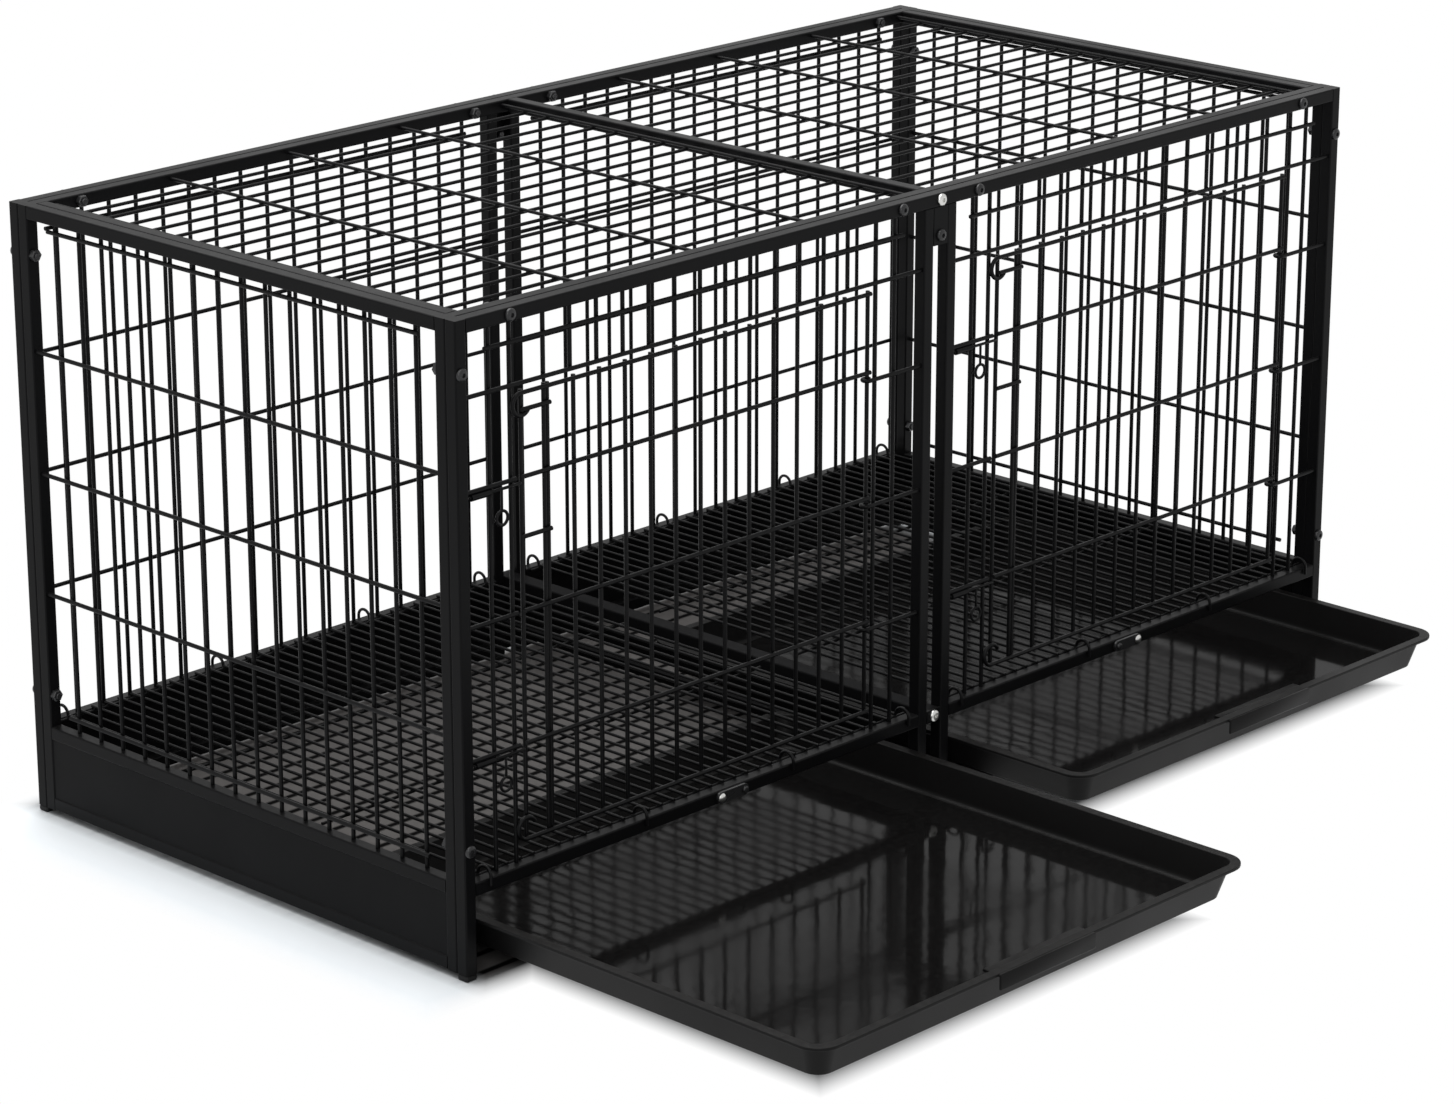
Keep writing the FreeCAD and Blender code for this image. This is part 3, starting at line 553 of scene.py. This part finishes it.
    def finish(self, name: str, materials: Sequence[bpy.types.Material], smooth_angle: float = 40.0,
               bevel: float = 0.0) -> bpy.types.Object:
        """Closes the mesh and makes it an object at the origin.

        Args:
            name: The object's name.
            materials: Its materials in the order of the faces' indices.
            smooth_angle: The angle in degrees under which edges are shaded smooth.
            bevel: The width of a bevel on sharp edges, or 0 for none.

        Returns:
            The new object.
        """
        bmesh.ops.recalc_face_normals(self.mesh, faces=list(self.mesh.faces))
        limit = math.radians(smooth_angle)
        for face in self.mesh.faces:
            face.smooth = True
        for edge in self.mesh.edges:
            edge.smooth = edge.is_manifold and edge.calc_face_angle(0.0) < limit
        data = bpy.data.meshes.new(name)
        self.mesh.to_mesh(data)
        self.mesh.free()
        for material in materials:
            data.materials.append(material)
        made = bpy.data.objects.new(name, data)
        bpy.context.scene.collection.objects.link(made)
        if bevel:
            rounding = made.modifiers.new("edge_rounding", "BEVEL")
            rounding.width, rounding.segments = bevel, self.BEVEL_STEPS
            rounding.limit_method, rounding.angle_limit = "ANGLE", math.radians(self.BEVEL_ANGLE)
        return made


def settle(piece: bpy.types.Object, body: str, slot: str, *nodes: str) -> None:
    """Puts a piece on its body, hides the nodes that it stands for, and reports it.

    Args:
        piece: The finished piece.
        body: The body that it moves with.
        slot: The record's material slot; not used.
        nodes: The nodes that it replaces, if any.
    """
    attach(piece, body)
    if nodes:
        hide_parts(*nodes)
    LOG.info("%s rides on %s, %d faces", piece.name, body, len(piece.data.polygons))


@dataclass
class Dressing:
    """What all parts of the dressed cage are made with."""

    finishes: Finishes
    layout: Layout = LAYOUT


@dataclass
class PaintedFrame(Dressing):
    """The tubes, sheets and wires that keep their own solids and get a powder coat."""

    wire_words: tuple[str, ...] = ("wires", "grate", "door")
    sheet_words: tuple[str, ...] = ("skirt",)
    dull_words: tuple[str, ...] = ("beam", "runner")

    def build(self) -> None:
        """Gives each node the coat of its kind."""
        coats = ((self.wire_words, self.finishes.wire), (self.sheet_words, self.finishes.sheet),
                 (self.dull_words, self.finishes.dull))
        for name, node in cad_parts.items():
            coat = next((coat for words, coat in coats if any(word in name for word in words)), self.finishes.tube)
            node.data.materials.clear()
            node.data.materials.append(coat)
        LOG.info("%d solids coated", len(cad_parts))


@dataclass
class WeldBeads(Dressing):
    """The resistance welds where the wires of a panel cross."""

    reach: float = 0.0019
    thickness: float = 0.0010
    smooth_angle: float = 80.0

    @staticmethod
    def _grid(xs: Sequence[float], ys: Sequence[float], zs: Sequence[float], axis: int) -> Iterator[Weld]:
        """Gives the welds at all crossings of some lines, with the axis of their thickness."""
        return (((x, y, z), axis) for x in xs for y in ys for z in zs)

    def _bay(self, side: Side) -> Iterator[Weld]:
        """Gives the welds of the rear, roof and floor of one bay.

        Args:
            side: The bay.

        Yields:
            Each weld.
        """
        cage = self.layout
        start = cage.bay_start(side)
        rear = cage.depth / 2 - cage.wire_inset - cage.wire / 2
        yield from self._grid(lines_between(start, cage.bay_width, cage.bay_gaps), [rear],
                              cage.panel_rows(cage.top_wire_drop)[1:], AXIS_Y)
        half = cage.length / 2 - 2.5 * cage.tube  # clear of two tubes at the end and half of the middle bar
        roof = -cage.length / 2 + 2 * cage.tube if side is Side.LEFT else cage.tube / 2
        bars = [roof + cage.bar_wire_gap, roof + half - cage.bar_wire_gap]
        yield from self._grid(lines_between(roof, half, cage.stiffener_gaps) + bars,
                              lines_between(-cage.end_depth / 2, cage.end_depth, cage.roof_gaps),
                              [cage.height - cage.roof_wire_depth + cage.roof_wire / 2], AXIS_Z)
        inset = cage.tube + cage.cross_inset
        yield from self._grid(lines_between(start, cage.bay_width, cage.floor_gaps),
                              lines_between(inset - cage.depth / 2, cage.depth - 2 * inset, cage.cross_gaps, ends=1),
                              [cage.floor_top], AXIS_Z)

    def _front(self, side: Side) -> Iterator[Weld]:
        """Gives the welds of the fixed wires round one door.

        Args:
            side: The bay.

        Yields:
            Each weld.
        """
        cage = self.layout
        start, end = cage.bay_start(side), cage.bay_start(side) + cage.bay_width
        line = cage.front_rows + cage.wire / 2
        latch_side = [start + cage.strip_upright, start + cage.latch_jamb]
        hinge_side = [end - cage.hinge_jamb, end - cage.strip_upright]
        short = lines_between(start, cage.bay_width, cage.bay_gaps)[cage.short_skip:-cage.short_skip]
        yield from self._grid(latch_side + hinge_side + short, [line],
                              [cage.header, cage.rail_under - cage.top_wire_drop], AXIS_Y)
        yield from self._grid(latch_side, [line], cage.door_rows()[1:-1], AXIS_Y)

    def _end(self, side: Side) -> Iterator[Weld]:
        """Gives the welds of one end panel.

        Args:
            side: The end.

        Returns:
            The welds.
        """
        cage = self.layout
        line = side.value * (cage.length / 2 - cage.wire_inset - cage.wire / 2)
        return self._grid([line], lines_between(-cage.end_depth / 2, cage.end_depth, cage.end_gaps),
                          cage.panel_rows(cage.end_wire_drop), AXIS_X)

    def _door(self, side: Side) -> Iterator[Weld]:
        """Gives the welds of one door.

        Args:
            side: The bay of the door.

        Returns:
            The welds.
        """
        cage = self.layout
        width = cage.bay_width - cage.latch_strip - cage.hinge_strip
        return self._grid(lines_between(cage.bay_start(side) + cage.latch_strip, width, cage.door_gaps, ends=1),
                          [cage.front_rows + cage.eye_play + cage.wire / 2], cage.door_rows(), AXIS_Y)

    def build(self) -> None:
        """Makes the beads of all panels and both doors, as one piece for each panel of a bay."""
        for side in Side:
            for part, body, welds in (("bay", "cage", self._bay), ("front", "cage", self._front),
                                      ("end", "cage", self._end), ("door", "%s_door" % side.label, self._door)):
                mould = Mould()
                for centre, axis in welds(side):
                    size = [self.reach] * 3
                    size[axis] = self.thickness
                    mould.bead(centre, tuple(size))
                piece = mould.finish("%s_%s_welds" % (side.label, part), [self.finishes.weld], self.smooth_angle)
                settle(piece, body, "black_wire")


@dataclass
class Fasteners(Dressing):
    """Pan-head bolts with a drive recess, and the nuts on their inner ends."""

    shank: float = 0.006
    head: float = 0.0116
    head_height: float = 0.0017
    crown_height: float = 0.0015
    crown: tuple[Pair, ...] = ((0.5, 0.0), (0.74, 0.25), (0.92, 0.62))  # shares of the radius and of the drop
    flank: tuple[Pair, ...] = ((1.0, 0.85), (1.0, 0.12), (0.97, 0.0))  # shares of the radius and of the height
    recess: float = 0.0021
    recess_floor: float = 0.8
    recess_depth: float = 0.0016
    nut: float = 0.0115
    nut_height: float = 0.005
    nut_flank: float = 0.86
    nut_top: float = 0.88
    nut_sides: int = 6
    thread_out: float = 0.0015
    thread_chamfer: float = 0.0005
    corner_high: float = 0.047
    corner_low: float = 0.031
    rail_end: float = 0.063
    rail_middle: float = 0.053
    plate_height: float = 0.036
    plate_bolt_rise: float = 0.009
    plate_grip: float = 0.010

    def _head(self, mould: Mould, x: float, face: Face, z: float, length: float) -> None:
        """Adds one bolt whose head bears on a long face.

        Args:
            mould: The mesh that it joins.
            x: Its X line.
            face: The face that its head bears on.
            z: Its height.
            length: The length of its shank.
        """
        top, edge, shank = self.head_height + self.crown_height, self.head / 2, self.shank / 2
        bottom = top - self.recess_depth
        profile = [(0.0, bottom), (self.recess * self.recess_floor, bottom), (self.recess, top)]
        profile += [(edge * out, top - drop * self.crown_height) for out, drop in self.crown]
        profile += [(edge * out, rise * self.head_height) for out, rise in self.flank]
        profile += [(shank, 0.0), (shank, self.thread_chamfer - length), (shank - self.thread_chamfer, -length),
                    (0.0, -length)]
        turn = Matrix.Rotation(face.value * math.pi / 2, 4, "X")
        spot = Matrix.Translation((x, self.layout.face_line(face, 0.0), z))
        mould.turned(profile, spot @ turn)

    def _nut(self, mould: Mould, x: float, face: Face, z: float) -> None:
        """Adds one chamfered hexagon nut on the inner side of two tubes.

        Args:
            mould: The mesh that it joins.
            x: Its X line.
            face: The face that its bolt's head bears on.
            z: Its height.
        """
        grip = 2 * self.layout.tube
        inner, edge = self.shank / 2, self.nut / 2
        profile = [(inner, 0.0), (edge, 0.0), (edge, self.nut_flank * self.nut_height),
                   (edge * self.nut_top, self.nut_height), (inner, self.nut_height), (inner, 0.0)]
        turn = Matrix.Rotation(-face.value * math.pi / 2, 4, "X")
        spot = Matrix.Translation((x, self.layout.face_line(face, grip), z))
        mould.turned(profile, spot @ turn, self.nut_sides)

    def build(self) -> None:
        """Makes the dark bolts, the two bright ones on the middle line of the front, and the nuts."""
        cage = self.layout
        dark, bright, nuts = Mould(), Mould(), Mould()
        side = cage.length / 2
        rail = cage.height - cage.tube / 2
        long = 2 * cage.tube + self.nut_height + self.thread_out
        plate = cage.rail_under - self.plate_height + self.plate_bolt_rise
        for face in Face:
            spots = [(way * (side - cage.tube / 2), z) for way in (-1, 1)
                     for z in (cage.height - self.corner_high, cage.floor_top + self.corner_low)]
            spots += [(way * x, rail) for way in (-1, 1) for x in (side - self.rail_end, self.rail_middle)]
            for x, z in spots:
                self._head(dark, x, face, z, long)
                self._nut(nuts, x, face, z)
            middle = bright if face is Face.FRONT else dark
            self._head(middle, 0.0, face, rail, long)
            self._head(dark, 0.0, face, plate, self.plate_grip)
            self._head(middle, 0.0, face, cage.floor_top - cage.tube / 2, self.plate_grip)
        settle(dark.finish("dark_bolts", [self.finishes.bolt]), "cage", "dark_fastener", "panel_bolts")
        settle(bright.finish("bright_bolts", [self.finishes.zinc]), "cage", "bright_steel")
        settle(nuts.finish("chamfered_nuts", [self.finishes.bolt]), "cage", "dark_fastener", "panel_nuts")


@dataclass
class Feet(Dressing):
    """The moulded feet in the lower ends of the posts."""

    height: float = 0.006
    edge: float = 0.0022
    edge_steps: int = 4
    plug: float = 0.0100
    plug_length: float = 0.014
    plug_edge: float = 0.0008

    def build(self) -> None:
        """Makes all eight feet as one piece."""
        cage = self.layout
        mould = Mould()
        half, plug = cage.tube / 2, self.plug / 2
        middle = cage.slot_gap / 2 + half
        for face in Face:
            y = cage.face_line(face, half)
            for x in (half - cage.length / 2, -middle, middle, cage.length / 2 - half):
                mould.block((x - half, y - half, 0.0), (x + half, y + half, self.height), self.edge, self.edge_steps)
                mould.block((x - plug, y - plug, self.height / 2),
                            (x + plug, y + plug, self.height + self.plug_length), self.plug_edge)
        settle(mould.finish("moulded_feet", [self.finishes.foot]), "cage", "foot_plastic", "feet")


@dataclass
class SlideBolts(Dressing):
    """The four wire slide bolts with their finger rings, drawn back from the doors."""

    wire: float = 0.0028
    play: float = 0.00008
    sleeve_wall: float = 0.0016
    tip_gap: float = 0.004
    tail_gap: float = 0.004
    ring_line: float = 0.042
    ring_drop: float = 0.026
    ring_radius: float = 0.0065
    stem: float = 0.85
    smooth_angle: float = 60.0

    def build(self) -> None:
        """Makes each bolt as one piece on its own body."""
        cage = self.layout
        drop = cage.wire / 2 + self.wire / 2 + self.play + self.sleeve_wall
        _, lower, _, upper, _ = cage.door_rows()
        y = cage.front_rows
        for side in Side:
            start = cage.bay_start(side)
            x, tail, tip = start + self.ring_line, start + self.tail_gap, start + cage.latch_strip - self.tip_gap
            for level, row in (("lower", lower), ("upper", upper)):
                height = row - drop
                ring = height - self.ring_drop
                mould = Mould()
                mould.bar((tail, y, height), (tip, y, height), self.wire)
                mould.bar((x, y, height), (x, y, ring + self.ring_radius), self.wire * self.stem)
                mould.ring((x, y, ring), self.ring_radius, self.wire, TO_FRONT)
                name = "%s_%s" % (side.label, level)
                settle(mould.finish("%s_wire_bolt" % name, [self.finishes.wire], self.smooth_angle),
                       "%s_bolt" % name, "black_wire", "%s_slide_bolt" % name)


@dataclass
class TrayLocks(Dressing):
    """The swivel straps that hold the trays in, with their rivets and thumb studs."""

    left_offset: float = 0.016
    right_offset: float = 0.005
    reach: float = 0.030
    width: float = 0.011
    rounding: float = 0.499
    bevel: float = 0.0004
    sheet: float = 0.0025
    play: float = 0.0003
    rivet_head: float = 0.009
    rivet_height: float = 0.0022
    rivet_shank: float = 0.005
    rivet_depth: float = 0.004
    stud: float = 0.007
    stud_height: float = 0.0026
    stud_crown: tuple[Pair, ...] = ((0.55, 1.0), (0.85, 0.9), (1.0, 0.66))  # shares of the radius and the height
    stud_steps: int = 20

    def _strap(self, side: Side, pivot: float, tip: float, height: float) -> None:
        """Makes one strap with its stud.

        Args:
            side: The bay.
            pivot: The X line of the rivet.
            tip: The X line of the stud.
            height: The height of both.
        """
        mould = Mould()
        back = -self.layout.depth / 2 - self.play
        loops = [mould.loop(self.reach + self.width, self.width, self.width * self.rounding, level)
                 for level in (0.0, self.sheet)]
        mould.bridge(loops)
        for edges in loops:
            mould.fill(edges)
        mould.place(mould.mesh.verts, Matrix.Translation(((pivot + tip) / 2, back, height)) @ TO_FRONT)
        mould.hold()
        edge, top = self.stud / 2, self.stud_height
        profile = [(0.0, top), *((edge * out, top * rise) for out, rise in self.stud_crown), (edge, 0.0), (0.0, 0.0)]
        mould.turned(profile, Matrix.Translation((tip, back - self.sheet, height)) @ TO_FRONT, self.stud_steps)
        settle(mould.finish("%s_lock_strap" % side.label, [self.finishes.bolt], bevel=self.bevel),
               "%s_tray_lock" % side.label, "black_tube", "%s_tray_lock" % side.label)

    def _rivet(self) -> list[Pair]:
        """Draws a rivet with a domed head.

        Returns:
            The profile of radius and height, from the rail's face.
        """
        seat, edge, shank = self.sheet + 2 * self.play, self.rivet_head / 2, self.rivet_shank / 2
        top = seat + self.rivet_height
        return [(0.0, top), (edge * 0.45, top * 0.985), (edge * 0.8, seat + 0.62 * self.rivet_height),
                (edge, seat + 0.2 * self.rivet_height), (edge * 0.96, seat), (shank, seat),
                (shank, -self.rivet_depth), (0.0, -self.rivet_depth)]

    def build(self) -> None:
        """Makes both straps and their bright rivets."""
        cage = self.layout
        rivets = Mould()
        height = cage.floor_top - cage.tube / 2
        front = -cage.depth / 2
        for side, offset in ((Side.LEFT, self.left_offset), (Side.RIGHT, self.right_offset)):
            way = -side.value
            pivot = cage.bay_start(side) + cage.bay_width / 2 + way * offset
            self._strap(side, pivot, pivot + way * self.reach, height)
            rivets.turned(self._rivet(), Matrix.Translation((pivot, front, height)) @ TO_FRONT)
        settle(rivets.finish("bright_rivets", [self.finishes.zinc]), "cage", "bright_steel", "lock_rivets")


@dataclass
class Trays(Dressing):
    """The two moulded trays with flared walls, an outward rim and a finger pull."""

    base: float = 0.022
    height: float = 0.033
    side_gap: float = 0.003
    front_gap: float = 0.004
    rear_gap: float = 0.005
    lip: float = 0.008
    flare: float = 0.009
    wall: float = 0.0025
    rim: float = 0.003
    corner: float = 0.024
    floor_fillet: float = 0.005
    fillet_steps: int = 4
    bevel: float = 0.0008
    left_pull: float = 0.404
    right_pull: float = 0.167
    pull_width: float = 0.126
    pull_reach: float = 0.003
    pull_drop: float = 0.015
    pull_wall: float = 0.0025
    pull_ledge: float = 0.018
    pull_edge: float = 0.0009
    ledge_edge: float = 0.0007
    ledge_shy: float = 0.0002

    FLOOR_FACES, WALL_FACES = range(2)

    def _shell(self, mould: Mould, width: float, depth: float) -> None:
        """Adds the tub and its rim as one closed wall about the origin.

        Args:
            mould: The mesh that they join.
            width: The rim's size along X.
            depth: The rim's size along Y.
        """
        rim_under = self.height - self.rim
        tub = (width - 2 * self.lip, depth - 2 * self.lip)
        inner_corner = self.corner - self.flare

        def inside(level: float) -> float:
            """Gives how much smaller than the tub the hollow is at a height."""
            return 2 * (self.wall + self.flare - level * self.flare / rim_under)

        def outline(less: float, corner: float, level: float) -> Loop:
            """Draws a loop whose sizes are less than the tub's."""
            return mould.loop(tub[0] - less, tub[1] - less, corner, level)

        outer = [outline(2 * self.flare, inner_corner, 0.0), outline(0.0, self.corner - self.lip / 2, rim_under),
                 mould.loop(width, depth, self.corner, rim_under), mould.loop(width, depth, self.corner, self.height)]
        knee = self.wall + self.floor_fillet
        hollow = [outline(inside(level), inner_corner, level) for level in (self.height, knee)]
        for n in range(1, self.fillet_steps + 1):
            turn = n / self.fillet_steps * math.pi / 2
            shrink = 2 * self.floor_fillet * (1 - math.cos(turn))
            hollow.append(outline(inside(knee) + shrink, inner_corner - shrink / 2,
                                  knee - self.floor_fillet * math.sin(turn)))
        level_ring = outline(inside(knee) + 4 * self.floor_fillet, inner_corner - self.floor_fillet, self.wall)
        mould.bridge(outer + hollow, self.WALL_FACES)
        mould.bridge([hollow[-1], level_ring], self.FLOOR_FACES)
        mould.fill(outer[0], self.WALL_FACES)
        mould.fill(level_ring, self.FLOOR_FACES)

    def _pull(self, mould: Mould, depth: float) -> None:
        """Adds the finger pull in the middle of the front: a ledge and a curtain with rounded edges.

        Args:
            mould: The mesh that it joins.
            depth: The rim's size along Y.
        """
        front = -depth / 2 - self.pull_reach
        half, shy = self.pull_width / 2, self.ledge_shy
        mould.block((-half, front + shy, self.height - self.rim - shy),
                    (half, front + self.pull_reach + self.pull_ledge, self.height - shy), self.ledge_edge)
        mould.block((-half, front, self.height - self.pull_drop), (half, front + self.pull_wall, self.height),
                    self.pull_edge)

    def build(self) -> None:
        """Makes both trays, each on its own body."""
        cage = self.layout
        width = cage.bay_width - 2 * self.side_gap
        depth = cage.depth - cage.tube - self.front_gap - self.rear_gap
        middle = (self.front_gap - self.rear_gap - cage.tube) / 2
        for side, pull in ((Side.LEFT, self.left_pull), (Side.RIGHT, self.right_pull)):
            mould = Mould()
            self._shell(mould, width, depth)
            shell_faces = set(mould.mesh.faces)
            self._pull(mould, depth)
            for face in mould.mesh.faces:
                if face not in shell_faces:
                    face.material_index = self.WALL_FACES
            spot = (cage.bay_start(side) + cage.bay_width / 2, middle - pull, self.base)
            mould.place(mould.mesh.verts, Matrix.Translation(spot))
            piece = mould.finish("%s_moulded_tray" % side.label, [self.finishes.tray_floor, self.finishes.tray_wall],
                                 bevel=self.bevel)
            settle(piece, "%s_tray" % side.label, "tray_plastic", "%s_tray" % side.label)


@dataclass(frozen=True)
class FloorBox:
    """A level rectangle on the floor, by half of its sizes along X and Y and by its middle."""

    half: Pair
    middle: Pair = (0.0, 0.0)

    def outside(self, sheet: NodeSheet, parts: bpy.types.Node) -> Socket:
        """Gives how far a point of the floor lies outside the rectangle.

        Args:
            sheet: The floor's node tree.
            parts: The node with the point's coordinates.

        Returns:
            The distance, negative inside.
        """
        past = []
        for axis, centre, reach in zip("XY", self.middle, self.half):
            away = sheet.math("ABSOLUTE", sheet.math("SUBTRACT", parts.outputs[axis], centre))
            past.append(sheet.math("SUBTRACT", away, reach))
        return sheet.math("MAXIMUM", *past)


@dataclass
class Studio:
    """The pale floor, the soft light and the camera at the photograph's viewing angle."""

    floor_size: float = 30.0
    floor_colour: Colour = (0.84, 0.875, 0.90, 1.0)
    # painted shade: a dark grey floor colour under the cage, where shade falls
    painted_shade_colour: Colour = (0.125, 0.119, 0.116, 1.0)
    # painted shadow lines along X in the painted shade, standing for the shadows of the end panels' uprights
    painted_shadow_line_colour: Colour = (0.006, 0.006, 0.006, 1.0)
    line_start: float = 0.0249
    line_pitch: float = 0.0313
    line_edge: Pair = (0.00216, 0.00504)
    shade: FloorBox = FloorBox((0.605, 0.314))
    shade_edge: Pair = (-0.02, 0.02)
    cage_shadow: FloorBox = FloorBox((0.66, 0.30))
    left_shadow: FloorBox = FloorBox((0.225, 0.23), (-0.31, -0.41))
    right_shadow: FloorBox = FloorBox((0.225, 0.23), (0.31, -0.174))
    shadow_edge: Pair = (0.0, 0.035)
    floor_roughness: float = 0.9
    sky_light: float = 0.42
    sky_gloss: float = 0.85
    image_width: int = 1454
    focal_pixels: float = 4608.0
    sensor: float = 36.0
    eye: Point = (-3.1072, -2.9930, 1.6121)
    azimuth: float = 46.31
    elevation: float = 18.37
    sight: float = 100.0

    def build(self) -> None:
        """Makes floor, world, lights and camera."""
        self._floor()
        self._world()
        self._lamp("key_softbox", spot=(-0.5, 0.3, 2.6), aim=(0.0, -0.1, 0.2), size=(3.0, 2.2), power=78.0)
        self._lamp("front_fill", spot=(-2.6, -2.4, 1.9), aim=(0.0, -0.1, 0.25), size=(1.8, 1.8), power=26.0)
        self._lamp("back_light", spot=(1.6, 2.8, 1.7), aim=(0.0, 0.0, 0.3), size=(2.4, 1.4), power=40.0,
                   mirrored=False)
        self._camera()
        bpy.context.scene.view_settings.view_transform = "Standard"

    def _floor(self) -> None:
        """Makes the floor: painted shade and painted shadow lines under the cage, pale with shadows near it, plain
        white further out.
        """
        mould = Mould()
        bmesh.ops.create_grid(mould.mesh, x_segments=4, y_segments=4, size=self.floor_size / 2)
        made = bpy.data.materials.new("pale_floor")
        made.use_nodes = True
        sheet = NodeSheet(made.node_tree)
        place = sheet.add("ShaderNodeTexCoord").outputs["Object"]
        parts = sheet.add("ShaderNodeSeparateXYZ", {"Vector": place})
        # painted shade under the cage, crossed by painted shadow lines; it gives way to the floor colour past the
        # shade box
        shade = sheet.blend(self._beside_shadow_lines(sheet, parts), self.painted_shadow_line_colour, self.painted_shade_colour)
        clear = sheet.remap(self.shade.outside(sheet, parts), self.shade_edge)
        shader = made.node_tree.nodes["Principled BSDF"]
        sheet.feed(shader, {"Base Color": sheet.blend(clear, shade, self.floor_colour),
                            "Roughness": self.floor_roughness, "Specular IOR Level": 0.0})
        around = self.cage_shadow.outside(sheet, parts)
        for box in (self.left_shadow, self.right_shadow):
            around = sheet.math("MINIMUM", around, box.outside(sheet, parts))
        rays = sheet.add("ShaderNodeLightPath").outputs
        seen = sheet.math("MAXIMUM", rays["Is Camera Ray"], rays["Is Glossy Ray"])
        white = sheet.math("MULTIPLY", sheet.remap(around, self.shadow_edge), seen)
        plain = sheet.add("ShaderNodeEmission")
        mix = sheet.add("ShaderNodeMixShader", {0: white, 1: shader.outputs["BSDF"], 2: plain.outputs["Emission"]})
        sheet.feed(made.node_tree.nodes["Material Output"], {"Surface": mix.outputs["Shader"]})
        mould.finish("studio_floor", [made])

    def _beside_shadow_lines(self, sheet: NodeSheet, parts: bpy.types.Node) -> Socket:
        """Gives 0 in painted shadow lines along X, at about the pitch of the end panels' uprights, and 1 beside."""
        moved = sheet.math("SUBTRACT", parts.outputs["Y"], self.line_start)
        return sheet.remap(sheet.math("PINGPONG", moved, self.line_pitch / 2), self.line_edge)

    def _world(self) -> None:
        """Makes the world white for the camera and for reflections, and dimmer as a light."""
        world = bpy.data.worlds.new("studio_world")
        world.use_nodes = True
        bpy.context.scene.world = world
        sheet = NodeSheet(world.node_tree)
        rays = sheet.add("ShaderNodeLightPath").outputs
        mirrored = sheet.remap(rays["Is Glossy Ray"], (0.0, 1.0), (self.sky_light, self.sky_gloss))
        seen = sheet.math("MAXIMUM", rays["Is Camera Ray"], mirrored)
        sheet.feed(world.node_tree.nodes["Background"], {"Color": WHITE, "Strength": seen})

    def _lamp(self, name: str, spot: Point, aim: Point, size: Pair, power: float, mirrored: bool = True) -> None:
        """Makes one soft box.

        Args:
            name: Its name.
            spot: Where it hangs.
            aim: The point that it faces.
            size: Its width and height.
            power: Its power in watts.
            mirrored: Whether it shows in glossy faces.
        """
        data = bpy.data.lights.new(name, "AREA")
        data.shape, data.size, data.size_y, data.energy = "RECTANGLE", size[0], size[1], power
        lamp = bpy.data.objects.new(name, data)
        lamp.location = spot
        lamp.visible_glossy = mirrored
        lamp.rotation_euler = (Vector(aim) - Vector(spot)).to_track_quat("-Z", "Y").to_euler()
        bpy.context.scene.collection.objects.link(lamp)

    def _camera(self) -> None:
        """Makes the camera from the place, direction and focal length that fit the photograph."""
        data = bpy.data.cameras.new("photo_camera")
        data.sensor_width = self.sensor
        data.lens = self.focal_pixels / self.image_width * self.sensor
        data.clip_end = self.sight
        camera = bpy.data.objects.new("photo_camera", data)
        camera.location = self.eye
        turn, tilt = math.radians(self.azimuth), math.radians(self.elevation)
        camera.rotation_euler = (math.pi / 2 - tilt, 0.0, -turn)
        bpy.context.scene.collection.objects.link(camera)
        bpy.context.scene.camera = camera


def main() -> None:
    """Builds the pieces in order."""
    logging.basicConfig(level=logging.INFO, format="%(name)s: %(message)s")
    finishes = Finishes()
    for part in (PaintedFrame, WeldBeads, Fasteners, Feet, SlideBolts, TrayLocks, Trays):
        part(finishes).build()
    Studio().build()


if __name__ == "__main__":
    main()
